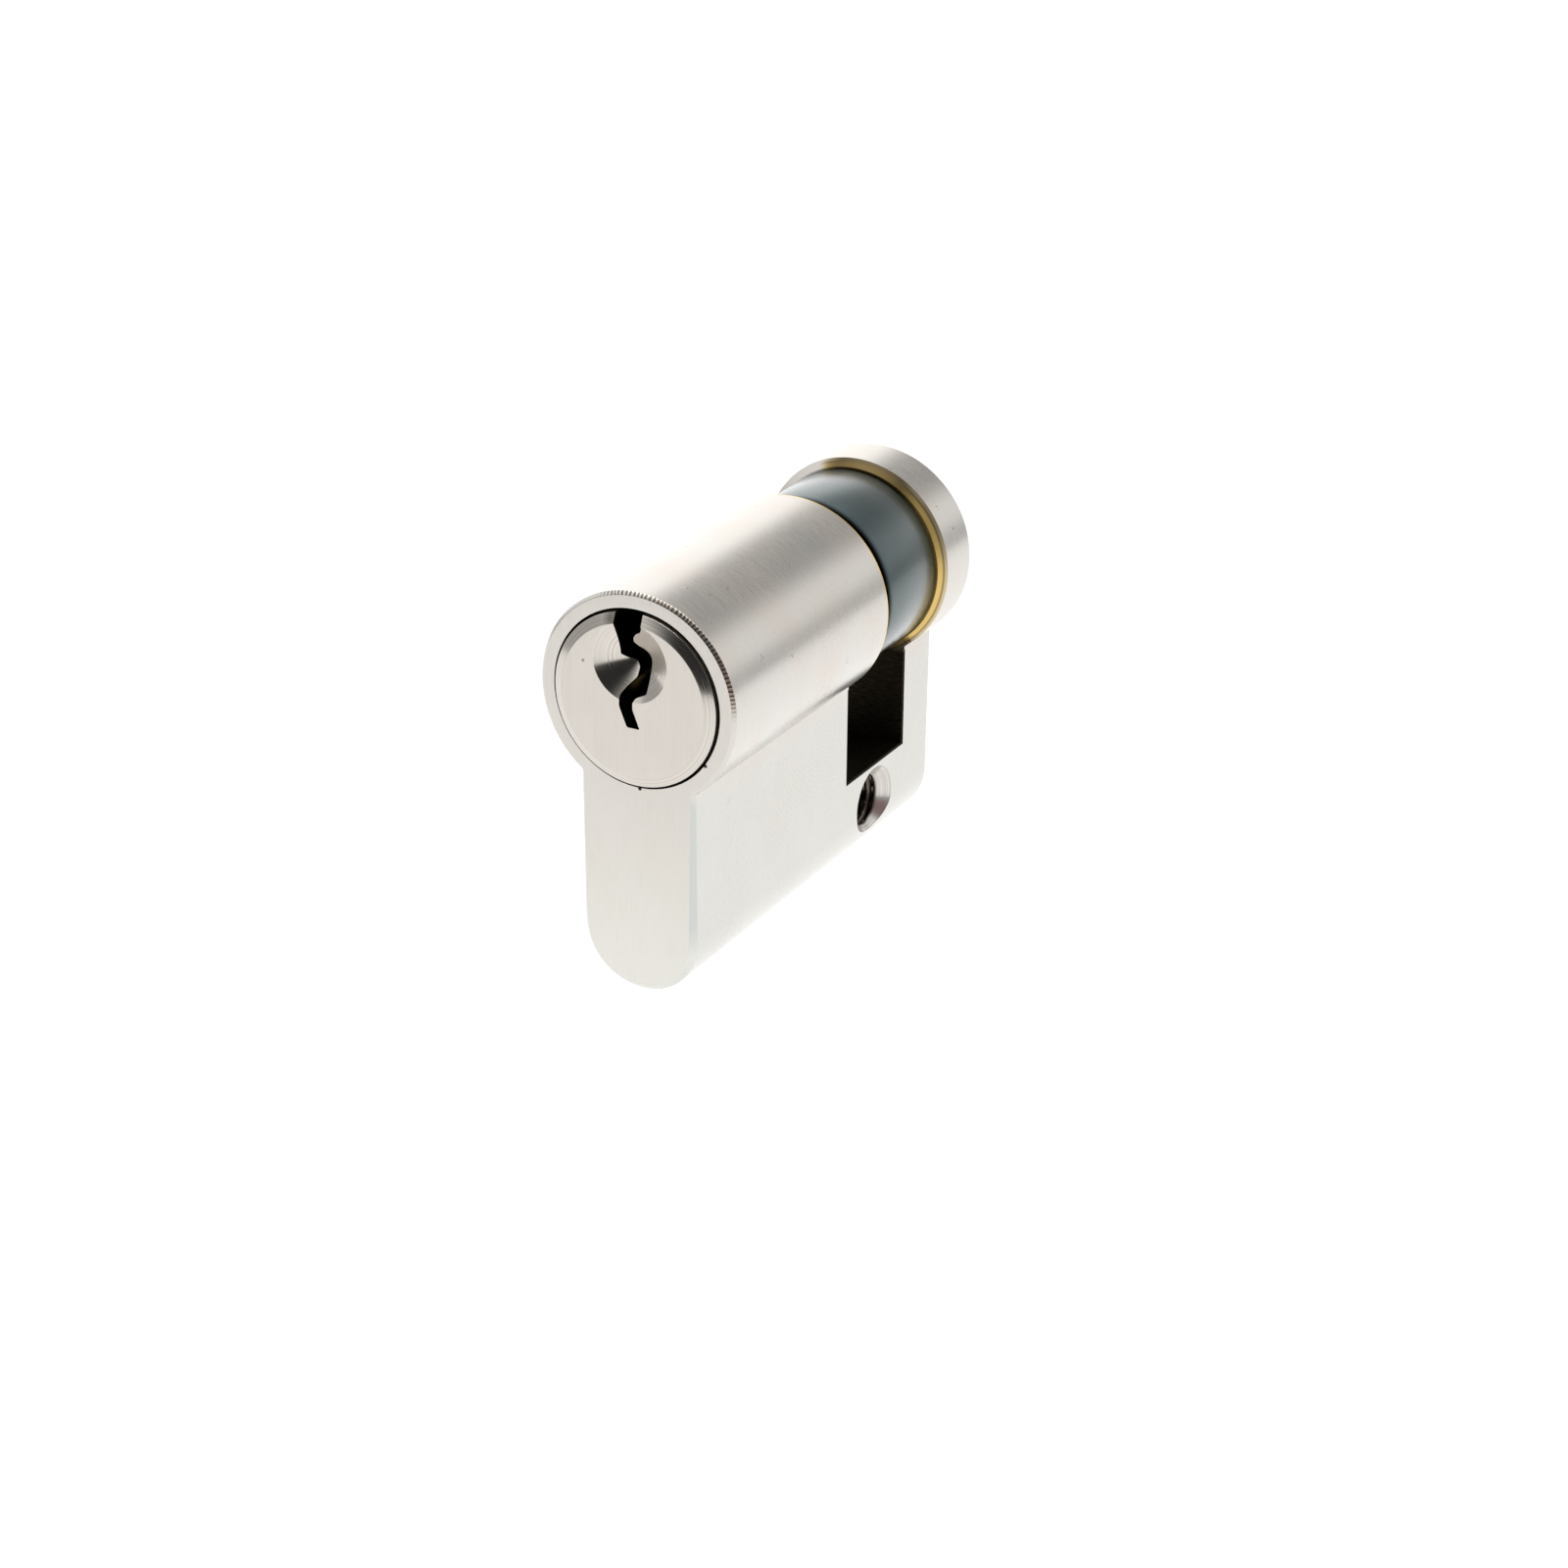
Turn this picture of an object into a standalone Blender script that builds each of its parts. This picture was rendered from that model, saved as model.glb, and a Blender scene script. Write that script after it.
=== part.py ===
"""Half euro-profile cylinder lock, size 30/10, built as its separate working pieces.

Frame: the origin is the centre of the fixing-screw hole, from which the two lengths of a
euro cylinder are measured. +Y runs along the barrel from the key side to the back, +Z is up
from the stem to the barrel, and +X is to the right of a person who faces the key side.

Run it with: blender --background --python part.py
"""

from math import asin, cos, pi, radians, sin, tau

import bmesh
import bpy
from mathutils import Vector

MM = 0.001
PART_NAME = "half_euro_cylinder"

# Housing: the standard euro outline, its two lengths and the slot that the cam turns in.
BARREL_RADIUS = 8.5 * MM
STEM_WIDTH = 10.0 * MM
PROFILE_HEIGHT = 33.0 * MM
KEY_SIDE_LENGTH = 30.0 * MM
BACK_LENGTH = 10.0 * MM
CAM_SLOT_WIDTH = 10.0 * MM
CAM_SLOT_DEPTH = 15.6 * MM
EDGE_CHAMFER = 0.25 * MM

# Fixing screw: M5, tapped through the stem under the cam slot.
SCREW_HEIGHT = 5.4 * MM
SCREW_HOLE_RADIUS = 2.1 * MM
SCREW_MOUTH_RADIUS = 3.1 * MM

# Fits: the clearance of turning and sliding pieces, and the gap between faces that rest.
RUNNING_GAP = 0.05 * MM
REST_GAP = 0.3 * MM

# Plug: a head in a counterbore, a body in the bore, and a bevelled face that stands proud.
PLUG_RADIUS = 6.5 * MM
PLUG_HEAD_RADIUS = 7.0 * MM
PLUG_HEAD_LENGTH = 2.0 * MM
PLUG_FACE_RADIUS = 6.2 * MM
PLUG_FACE_HEIGHT = 0.6 * MM
PLUG_RIM_HEIGHT = 0.22 * MM
PLUG_TAIL = 2.0 * MM
TAIL_SLOT_DEPTH = 2.6 * MM

# Key entry: a shallow cone sunk in the face, round the keyway.
ENTRY_RADIUS = 3.22 * MM
ENTRY_CENTRE = (-0.2 * MM, 3.08 * MM)
ENTRY_SLOPE = 0.58

# Keyway outline about the plug's axis, as (x, z) in millimetres, seen from the key side.
# It is open at the top of the plug, and ends just below the axis, over the pins.
KEYWAY_LEFT = [(-1.6, 7.6), (-1.58, 3.2), (-1.1, 2.92), (-0.45, 2.75), (-0.12, 2.3),
               (-0.14, 1.65), (-0.75, 0.95), (-1.14, 0.35), (-1.15, -0.55), (-0.48, -2.15)]
KEYWAY_RIGHT = [(0.64, -2.15), (0.02, -0.65), (0.02, -0.08), (0.2, 0.25), (1.08, 0.68),
                (1.14, 3.35), (0.8, 3.72), (-0.2, 4.05), (-0.45, 4.4), (-0.35, 4.8),
                (0.0, 5.22), (0.45, 5.45), (0.8, 5.95), (0.75, 7.6)]

# Retaining clip: a snap ring in a groove on the plug's tail.
CLIP_THICKNESS = 0.7 * MM
CLIP_OUTER_RADIUS = 6.95 * MM
CLIP_INNER_RADIUS = 5.8 * MM
CLIP_MOUTH_ANGLE = radians(50)

# Cam: a ring in the slot, behind the clip, with the lever that throws the lock's bolt.
CAM_RADIUS = 7.75 * MM
CLIP_SPACE = 1.5 * MM
LEVER_RADIUS = 15.0 * MM
LEVER_ROOT_WIDTH = 7.2 * MM
LEVER_TIP_WIDTH = 6.0 * MM
LEVER_REST_ANGLE = radians(210)
CAM_FRONT_RECESS_RADIUS = 7.1 * MM
CAM_FRONT_RECESS_DEPTH = 0.9 * MM
CAM_REAR_RECESS_DEPTH = 3.5 * MM

# Coupling: a sprung drive bar that lies in the slots of the plug's tail and of the cam.
COUPLING_BAR_RADIUS = 5.5 * MM
COUPLING_BAR_HEIGHT = 3.0 * MM
COUPLING_TIP_HEIGHT = 2.9 * MM
COUPLING_LENGTH = 4.6 * MM
COUPLING_BOSS_RADIUS = 2.65 * MM
COUPLING_POCKET_RADIUS = 2.05 * MM
COUPLING_POCKET_DEPTH = 3.1 * MM
DRIVE_SLOT_GAP = 0.1 * MM

# Rear bearing: a stub held in the blind end of the bore, on which the back of the cam turns.
BEARING_LENGTH = 6.7 * MM
BEARING_SEAT_DEPTH = 3.4 * MM

# Pin stacks: five chambers in the stem, each with a key pin, a driver, a spring and a cap.
PIN_COUNT = 5
FIRST_PIN = 6.0 * MM
PIN_PITCH = 4.0 * MM
CHAMBER_RADIUS = 1.5 * MM
PIN_RADIUS = 1.43 * MM
PIN_CHAMFER = 0.15 * MM
PLUG_CHAMBER_TOP = 2.6 * MM
KEY_PIN_LENGTHS = [4.6 * MM, 5.6 * MM, 4.2 * MM, 6.0 * MM, 5.0 * MM]
KEY_PIN_TIP_RADIUS = 0.45 * MM
KEY_PIN_BASE = 6.3 * MM
DRIVER_LENGTH = 5.5 * MM
CAP_LENGTH = 1.6 * MM
CAP_RECESS = 0.4 * MM

# Springs: wire and coil sizes, and the closed turn at each end of a coil.
PIN_SPRING_WIRE = 0.35 * MM
PIN_SPRING_RADIUS = 1.05 * MM
PIN_SPRING_TURNS = 7
COUPLING_SPRING_WIRE = 0.4 * MM
COUPLING_SPRING_RADIUS = 1.6 * MM
COUPLING_SPRING_TURNS = 5
CLOSED_PITCH = 1.2
POINTS_PER_TURN = 8

# Fineness of round shapes.
BARREL_STEPS = 48
FOOT_STEPS = 20
ROUND_SEGMENTS = 64
CAM_STEPS = 44
SMALL_SEGMENTS = 24
OVERSHOOT = 1.0 * MM
WELD_DISTANCE = 0.000001
UPRIGHT = (0.0, 0.0, 0.0)
ALONG_X = (0.0, radians(90), 0.0)
ALONG_Y = (radians(-90), 0.0, 0.0)
SHARP_ANGLE = radians(30)
CHAMFER_ANGLE = radians(60)

# Places that follow from the dimensions above.
AXIS_Z = PROFILE_HEIGHT - BARREL_RADIUS - SCREW_HEIGHT
STEM_BOTTOM_Z = -SCREW_HEIGHT
FRONT_Y = -KEY_SIDE_LENGTH
BACK_Y = BACK_LENGTH
SLOT_FRONT_Y = -CAM_SLOT_WIDTH / 2
SLOT_BACK_Y = CAM_SLOT_WIDTH / 2
BORE_RADIUS = PLUG_RADIUS + RUNNING_GAP
BORE_END_Y = SLOT_BACK_Y + BEARING_SEAT_DEPTH
TAIL_END_Y = SLOT_FRONT_Y + PLUG_TAIL
TAIL_SLOT_Y = TAIL_END_Y - TAIL_SLOT_DEPTH
CLIP_FRONT_Y = SLOT_FRONT_Y + REST_GAP + RUNNING_GAP
CAM_FRONT_Y = SLOT_FRONT_Y + CLIP_SPACE
CAM_BACK_Y = SLOT_BACK_Y - REST_GAP
COUPLING_FRONT_Y = TAIL_SLOT_Y + REST_GAP / 2
BEARING_FRONT_Y = BORE_END_Y - DRIVE_SLOT_GAP - BEARING_LENGTH
DRIVER_TOP_Z = AXIS_Z - KEY_PIN_BASE - REST_GAP
CAP_BOTTOM_Z = STEM_BOTTOM_Z + CAP_RECESS
CAP_TOP_Z = CAP_BOTTOM_Z + CAP_LENGTH
PIN_YS = [FRONT_Y + FIRST_PIN + PIN_PITCH * n for n in range(PIN_COUNT)]

# Surface colours, as linear red, green and blue, with roughness and metallic.
NICKEL = ("nickel_plate", (0.72, 0.69, 0.65), 0.28, 1.0)
PLUG_NICKEL = ("plug_nickel", (0.75, 0.73, 0.69), 0.22, 1.0)
CAM_STEEL = ("cam_steel", (0.20, 0.24, 0.25), 0.42, 1.0)
SPRING_STEEL = ("spring_steel", (0.48, 0.48, 0.47), 0.30, 1.0)
BRASS = ("brass", (0.74, 0.51, 0.19), 0.30, 1.0)
SINTERED_STEEL = ("sintered_steel", (0.33, 0.33, 0.33), 0.5, 1.0)


def clear_scene():
    """Starts from an empty scene."""
    for obj in list(bpy.data.objects):
        bpy.data.objects.remove(obj, do_unlink=True)


def new_collection(name):
    """Makes a collection in the scene."""
    collection = bpy.data.collections.new(name)
    bpy.context.scene.collection.children.link(collection)
    return collection


def make_material(finish, node_name):
    """A Principled material of one piece, from its finish."""
    finish_name, colour, roughness, metallic = finish
    material = bpy.data.materials.new(f"{node_name}_{finish_name}")
    material.use_nodes = True
    shader = material.node_tree.nodes["Principled BSDF"]
    shader.inputs["Base Color"].default_value = (*colour, 1.0)
    shader.inputs["Roughness"].default_value = roughness
    shader.inputs["Metallic"].default_value = metallic
    material.diffuse_color = (*colour, 1.0)
    return material


def finish_piece(obj, finish):
    """Gives a piece its material."""
    obj.data.materials.clear()
    obj.data.materials.append(make_material(finish, obj.name))
    return obj


def as_cutter(obj):
    """Marks an object as a tool that only cuts."""
    obj.hide_render = True
    obj.display_type = "WIRE"
    return obj


def shade(mesh):
    """Smooth shading, with the true edges left sharp."""
    mesh.shade_smooth()
    mesh.set_sharp_from_angle(angle=SHARP_ANGLE)


def bake(obj):
    """Turns a curve, or a mesh with modifiers, into one welded mesh object in the same place."""
    graph = bpy.context.evaluated_depsgraph_get()
    mesh = bpy.data.meshes.new_from_object(obj.evaluated_get(graph))
    shape = bmesh.new()
    shape.from_mesh(mesh)
    bmesh.ops.remove_doubles(shape, verts=shape.verts, dist=WELD_DISTANCE)
    bmesh.ops.dissolve_limit(shape, angle_limit=radians(0.5), verts=shape.verts, edges=shape.edges)
    bmesh.ops.recalc_face_normals(shape, faces=shape.faces)
    shape.to_mesh(mesh)
    shape.free()
    shade(mesh)
    name = obj.name
    baked = bpy.data.objects.new(name + "_mesh", mesh)
    for collection in obj.users_collection:
        collection.objects.link(baked)
    baked.parent = obj.parent
    baked.location = obj.location
    baked.rotation_euler = obj.rotation_euler
    bpy.data.objects.remove(obj, do_unlink=True)
    baked.name = name
    return baked


def arc(centre_z, radius, start, end, steps):
    """Points of an arc about (0, centre_z), from one angle to another, both included."""
    angles = [start + (end - start) * n / steps for n in range(steps + 1)]
    return [(radius * cos(a), centre_z + radius * sin(a)) for a in angles]


def extruded(name, collection, outline, centre_y, length, parent=None):
    """A closed outline of (x, z) points about the barrel's axis, drawn out along Y."""
    curve = bpy.data.curves.new(name, "CURVE")
    curve.dimensions = "2D"
    curve.fill_mode = "BOTH"
    curve.extrude = length / 2
    spline = curve.splines.new("POLY")
    spline.points.add(len(outline) - 1)
    for point, (x, z) in zip(spline.points, outline):
        point.co = (x, z, 0.0, 1.0)
    spline.use_cyclic_u = True
    obj = bpy.data.objects.new(name, curve)
    collection.objects.link(obj)
    obj.rotation_euler = (radians(90), 0.0, 0.0)
    base = parent.location if parent else Vector((0.0, 0.0, 0.0))
    obj.location = Vector((0.0, centre_y, AXIS_Z)) - base
    obj.parent = parent
    return bake(obj)


def turned(name, collection, profile, segments, location, rotation=UPRIGHT, parent=None):
    """A turned piece: (radius, height) points run from the top, down the outer side."""
    mesh = bpy.data.meshes.new(name)
    points = [(radius, 0.0, height) for radius, height in profile]
    edges = [(n, n + 1) for n in range(len(points) - 1)]
    mesh.from_pydata(points, edges, [])
    obj = bpy.data.objects.new(name, mesh)
    collection.objects.link(obj)
    screw = obj.modifiers.new("Turn", "SCREW")
    screw.steps = segments
    screw.render_steps = segments
    screw.use_merge_vertices = True
    screw.merge_threshold = WELD_DISTANCE
    base = parent.location if parent else Vector((0.0, 0.0, 0.0))
    obj.location = Vector(location) - base
    obj.rotation_euler = rotation
    obj.parent = parent
    return bake(obj)


def frustum(name, collection, start, end, start_radius, end_radius, segments):
    """A cutter between two points: a cylinder, or a cone where its radii differ."""
    start = Vector(start)
    end = Vector(end)
    mesh = bpy.data.meshes.new(name)
    shape = bmesh.new()
    bmesh.ops.create_cone(shape, cap_ends=True, segments=segments, radius1=start_radius,
                          radius2=end_radius, depth=(end - start).length)
    shape.to_mesh(mesh)
    shape.free()
    obj = bpy.data.objects.new(name, mesh)
    collection.objects.link(obj)
    obj.location = (start + end) / 2
    obj.rotation_euler = (end - start).to_track_quat("Z", "Y").to_euler()
    return as_cutter(obj)


def along_barrel(name, collection, start_y, end_y, radius, segments=ROUND_SEGMENTS):
    """A round cutter on the barrel's axis."""
    return frustum(name, collection, (0, start_y, AXIS_Z), (0, end_y, AXIS_Z), radius, radius, segments)


def block(name, collection, low, high):
    """A box cutter between two corners."""
    mesh = bpy.data.meshes.new(name)
    shape = bmesh.new()
    bmesh.ops.create_cube(shape, size=1.0)
    size = Vector(high) - Vector(low)
    bmesh.ops.scale(shape, vec=size, verts=shape.verts)
    shape.to_mesh(mesh)
    shape.free()
    obj = bpy.data.objects.new(name, mesh)
    collection.objects.link(obj)
    obj.location = (Vector(low) + Vector(high)) / 2
    return as_cutter(obj)


def cut(obj, cutter):
    """Takes a cutter's shape out of a piece."""
    modifier = obj.modifiers.new("Cut " + cutter.name, "BOOLEAN")
    modifier.operation = "DIFFERENCE"
    modifier.solver = "EXACT"
    modifier.object = cutter


def coil(name, collection, base, wire, radius, turns, length, rotation=UPRIGHT):
    """A compression spring that stands on base, with a closed turn at each end."""
    count = turns * POINTS_PER_TURN
    closed = CLOSED_PITCH * wire
    rise = length - wire
    open_pitch = (rise - 2 * closed) / (turns - 2)
    curve = bpy.data.curves.new(name, "CURVE")
    curve.dimensions = "3D"
    curve.bevel_depth = wire / 2
    curve.bevel_resolution = 2
    curve.use_fill_caps = True
    spline = curve.splines.new("POLY")
    spline.points.add(count)
    for n, point in enumerate(spline.points):
        turn = n / POINTS_PER_TURN
        height = wire / 2 + closed * min(turn, 1.0)
        height += open_pitch * min(max(turn - 1.0, 0.0), turns - 2.0)
        height += closed * max(turn - (turns - 1.0), 0.0)
        angle = tau * turn
        point.co = (radius * cos(angle), radius * sin(angle), height, 1.0)
    obj = bpy.data.objects.new(name, curve)
    collection.objects.link(obj)
    obj.location = base
    obj.rotation_euler = rotation
    return finish_piece(bake(obj), SPRING_STEEL)


def euro_outline():
    """The housing's outline: the barrel's arc, then the stem with its round foot."""
    half = STEM_WIDTH / 2
    junction = asin(half / BARREL_RADIUS)
    barrel = arc(0.0, BARREL_RADIUS, junction - pi / 2, 3 * pi / 2 - junction, BARREL_STEPS)
    foot_centre = BARREL_RADIUS + half - PROFILE_HEIGHT
    foot = arc(foot_centre, half, pi, tau, FOOT_STEPS)
    return barrel + foot


def bore_profile():
    """The stepped bore, as (radius, distance from the key-side face), from its blind end."""
    end = BORE_END_Y - FRONT_Y
    step = PLUG_HEAD_LENGTH + RUNNING_GAP
    head = PLUG_HEAD_RADIUS + 2 * RUNNING_GAP
    return [(0.0, end), (BORE_RADIUS, end), (BORE_RADIUS, step), (head, step),
            (head, -OVERSHOOT), (0.0, -OVERSHOOT)]


def screw_hole_profile():
    """The fixing screw's hole across the stem, countersunk at 45 degrees on both sides."""
    reach = STEM_WIDTH / 2 + OVERSHOOT
    mouth = SCREW_MOUTH_RADIUS + OVERSHOOT
    waist = reach - (mouth - SCREW_HOLE_RADIUS)
    return [(0.0, reach), (mouth, reach), (SCREW_HOLE_RADIUS, waist),
            (SCREW_HOLE_RADIUS, -waist), (mouth, -reach), (0.0, -reach)]


def build_housing(parts, cutters):
    """The nickel-plated brass body, with its bore, cam slot, pin chambers and screw hole."""
    length = KEY_SIDE_LENGTH + BACK_LENGTH
    housing = extruded("housing", parts, euro_outline(), (FRONT_Y + BACK_Y) / 2, length)
    chamfer = housing.modifiers.new("Edge chamfer", "BEVEL")
    chamfer.width = EDGE_CHAMFER
    chamfer.segments = 1
    chamfer.limit_method = "ANGLE"
    chamfer.angle_limit = CHAMFER_ANGLE
    bore = turned("plug_bore", cutters, bore_profile(), ROUND_SEGMENTS, (0, FRONT_Y, AXIS_Z), ALONG_Y)
    cut(housing, as_cutter(bore))
    slot_low = (-BARREL_RADIUS - OVERSHOOT, SLOT_FRONT_Y, AXIS_Z - CAM_SLOT_DEPTH)
    slot_high = (BARREL_RADIUS + OVERSHOOT, SLOT_BACK_Y, AXIS_Z + BARREL_RADIUS + OVERSHOOT)
    cut(housing, block("cam_slot", cutters, slot_low, slot_high))
    for n, y in enumerate(PIN_YS, 1):
        low = (0, y, STEM_BOTTOM_Z - OVERSHOOT)
        high = (0, y, AXIS_Z - PLUG_RADIUS + OVERSHOOT)
        chamber = frustum(f"pin_chamber_{n}", cutters, low, high, CHAMBER_RADIUS, CHAMBER_RADIUS,
                          SMALL_SEGMENTS)
        cut(housing, chamber)
    screw_hole = turned("screw_hole", cutters, screw_hole_profile(), SMALL_SEGMENTS, (0, 0, 0), ALONG_X)
    cut(housing, as_cutter(screw_hole))
    return finish_piece(housing, NICKEL)


def plug_profile():
    """The plug's turned profile as (radius, distance from the key-side face), from its tail."""
    groove_start = CLIP_FRONT_Y - RUNNING_GAP - FRONT_Y
    groove_end = groove_start + CLIP_THICKNESS + 2 * RUNNING_GAP
    groove_radius = CLIP_INNER_RADIUS - RUNNING_GAP
    tail_end = TAIL_END_Y - FRONT_Y
    return [(0.0, tail_end), (PLUG_RADIUS - PIN_CHAMFER, tail_end),
            (PLUG_RADIUS, tail_end - PIN_CHAMFER), (PLUG_RADIUS, groove_end),
            (groove_radius, groove_end), (groove_radius, groove_start),
            (PLUG_RADIUS, groove_start), (PLUG_RADIUS, PLUG_HEAD_LENGTH),
            (PLUG_HEAD_RADIUS, PLUG_HEAD_LENGTH), (PLUG_HEAD_RADIUS, -PLUG_RIM_HEIGHT),
            (PLUG_FACE_RADIUS, -PLUG_FACE_HEIGHT), (0.0, -PLUG_FACE_HEIGHT)]


def keyway_outline():
    """The keyway's closed outline in metres."""
    return [(x * MM, z * MM) for x, z in KEYWAY_LEFT + KEYWAY_RIGHT]


def build_plug(parts, cutters, axis):
    """The plug that the key turns, with its keyway, pin chambers and tail slot."""
    plug = turned("plug", parts, plug_profile(), ROUND_SEGMENTS, (0, FRONT_Y, AXIS_Z),
                  ALONG_Y, axis)
    face_y = FRONT_Y - PLUG_FACE_HEIGHT
    x, z = ENTRY_CENTRE
    wide = ENTRY_RADIUS + OVERSHOOT / ENTRY_SLOPE
    cone_tip = (x, face_y + ENTRY_RADIUS * ENTRY_SLOPE, AXIS_Z + z)
    entry = frustum("key_entry", cutters, (x, face_y - OVERSHOOT, AXIS_Z + z), cone_tip, wide, 0.0,
                    ROUND_SEGMENTS)
    cut(plug, entry)
    start = face_y - OVERSHOOT
    end = TAIL_END_Y + OVERSHOOT
    keyway = extruded("keyway", cutters, keyway_outline(), (start + end) / 2, end - start)
    cut(plug, as_cutter(keyway))
    for n, y in enumerate(PIN_YS, 1):
        low = (0, y, AXIS_Z - PLUG_RADIUS - OVERSHOOT)
        high = (0, y, AXIS_Z + PLUG_CHAMBER_TOP)
        chamber = frustum(f"plug_chamber_{n}", cutters, low, high, CHAMBER_RADIUS, CHAMBER_RADIUS,
                          SMALL_SEGMENTS)
        cut(plug, chamber)
    half_slot = COUPLING_BAR_HEIGHT / 2 + DRIVE_SLOT_GAP
    reach = PLUG_RADIUS + OVERSHOOT
    tail_slot = block("tail_slot", cutters, (-reach, TAIL_SLOT_Y, AXIS_Z - half_slot),
                      (reach, end, AXIS_Z + half_slot))
    cut(plug, tail_slot)
    boss_seat = along_barrel("boss_seat", cutters, TAIL_SLOT_Y, end,
                             COUPLING_BOSS_RADIUS + DRIVE_SLOT_GAP, SMALL_SEGMENTS)
    cut(plug, boss_seat)
    return finish_piece(plug, PLUG_NICKEL)


def build_clip(parts, axis):
    """The snap ring that keeps the plug in the housing, its mouth at the bottom."""
    start = -pi / 2 + CLIP_MOUTH_ANGLE / 2
    end = 3 * pi / 2 - CLIP_MOUTH_ANGLE / 2
    outer = arc(0.0, CLIP_OUTER_RADIUS, start, end, CAM_STEPS)
    inner = arc(0.0, CLIP_INNER_RADIUS, end, start, CAM_STEPS)
    centre_y = CLIP_FRONT_Y + CLIP_THICKNESS / 2
    clip = extruded("retaining_clip", parts, outer + inner, centre_y, CLIP_THICKNESS, axis)
    return finish_piece(clip, SPRING_STEEL)


def cam_outline():
    """The cam's ring and its tapered lever, whose round tip is centred on the axis."""
    root = asin(LEVER_ROOT_WIDTH / 2 / CAM_RADIUS)
    tip = asin(LEVER_TIP_WIDTH / 2 / LEVER_RADIUS)
    rest = LEVER_REST_ANGLE
    lever = arc(0.0, LEVER_RADIUS, rest - tip, rest + tip, FOOT_STEPS // 2)
    ring = arc(0.0, CAM_RADIUS, rest + root, rest + tau - root, CAM_STEPS)
    return lever + ring


def build_cam(parts, cutters):
    """The cam, hollowed for the plug's tail in front and for the rear bearing behind."""
    centre_y = (CAM_FRONT_Y + CAM_BACK_Y) / 2
    cam = extruded("cam", parts, cam_outline(), centre_y, CAM_BACK_Y - CAM_FRONT_Y)
    web_front = CAM_FRONT_Y + CAM_FRONT_RECESS_DEPTH
    web_back = CAM_BACK_Y - CAM_REAR_RECESS_DEPTH
    cut(cam, along_barrel("cam_front_recess", cutters, CAM_FRONT_Y - OVERSHOOT, web_front,
                          CAM_FRONT_RECESS_RADIUS))
    cut(cam, along_barrel("cam_rear_recess", cutters, web_back, CAM_BACK_Y + OVERSHOOT,
                          PLUG_RADIUS + 2 * RUNNING_GAP))
    boss_hole = along_barrel("cam_boss_hole", cutters, web_front - OVERSHOOT, web_back + OVERSHOOT,
                             COUPLING_BOSS_RADIUS + DRIVE_SLOT_GAP, SMALL_SEGMENTS)
    cut(cam, boss_hole)
    half_slot = COUPLING_BAR_HEIGHT / 2 + DRIVE_SLOT_GAP
    reach = COUPLING_BAR_RADIUS + REST_GAP
    drive_slot = block("cam_drive_slot", cutters,
                       (-reach, web_front - OVERSHOOT, AXIS_Z - half_slot),
                       (reach, web_back + OVERSHOOT, AXIS_Z + half_slot))
    cut(cam, drive_slot)
    return finish_piece(cam, CAM_STEEL)


def coupling_outline():
    """The drive bar with its round ends and its round boss."""
    half = COUPLING_BAR_HEIGHT / 2
    end = asin(COUPLING_TIP_HEIGHT / 2 / COUPLING_BAR_RADIUS)
    boss = asin(half / COUPLING_BOSS_RADIUS)
    steps = FOOT_STEPS // 2
    right = arc(0.0, COUPLING_BAR_RADIUS, -end, end, steps // 2)
    top = arc(0.0, COUPLING_BOSS_RADIUS, boss, pi - boss, steps)
    left = arc(0.0, COUPLING_BAR_RADIUS, pi - end, pi + end, steps // 2)
    bottom = arc(0.0, COUPLING_BOSS_RADIUS, pi + boss, tau - boss, steps)
    return right + top + left + bottom


def build_coupling(parts, cutters, axis):
    """The sprung bar that takes the plug's turn to the cam."""
    back = COUPLING_FRONT_Y + COUPLING_LENGTH
    centre_y = (COUPLING_FRONT_Y + back) / 2
    coupling = extruded("coupling", parts, coupling_outline(), centre_y, COUPLING_LENGTH, axis)
    pocket = along_barrel("spring_pocket", cutters, back - COUPLING_POCKET_DEPTH, back + OVERSHOOT,
                          COUPLING_POCKET_RADIUS, SMALL_SEGMENTS)
    cut(coupling, pocket)
    finish_piece(coupling, SINTERED_STEEL)
    seat_y = back - COUPLING_POCKET_DEPTH + RUNNING_GAP
    length = BEARING_FRONT_Y - RUNNING_GAP - seat_y
    coil("coupling_spring", parts, (0, seat_y, AXIS_Z), COUPLING_SPRING_WIRE,
         COUPLING_SPRING_RADIUS, COUPLING_SPRING_TURNS, length, ALONG_Y)
    return coupling


def build_rear_bearing(parts):
    """The stub in the blind end of the bore that carries the back of the cam."""
    chamfer = PIN_CHAMFER
    profile = [(0.0, BEARING_LENGTH), (PLUG_RADIUS - chamfer, BEARING_LENGTH),
               (PLUG_RADIUS, BEARING_LENGTH - chamfer), (PLUG_RADIUS, chamfer),
               (PLUG_RADIUS - chamfer, 0.0), (0.0, 0.0)]
    bearing = turned("rear_bearing", parts, profile, ROUND_SEGMENTS,
                     (0, BEARING_FRONT_Y, AXIS_Z), ALONG_Y)
    return finish_piece(bearing, BRASS)


def key_pin_profile(length):
    """A key pin stands on the shear line, with a cone that rests in the key's cut."""
    shoulder = length - (PIN_RADIUS - KEY_PIN_TIP_RADIUS)
    return [(0.0, length), (KEY_PIN_TIP_RADIUS, length), (PIN_RADIUS, shoulder),
            (PIN_RADIUS, PIN_CHAMFER), (PIN_RADIUS - PIN_CHAMFER, 0.0), (0.0, 0.0)]


def plain_pin_profile(radius, length, chamfer):
    """A plain round pin with chamfered ends, from height 0 up to its length."""
    return [(0.0, length), (radius - chamfer, length), (radius, length - chamfer),
            (radius, chamfer), (radius - chamfer, 0.0), (0.0, 0.0)]


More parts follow.
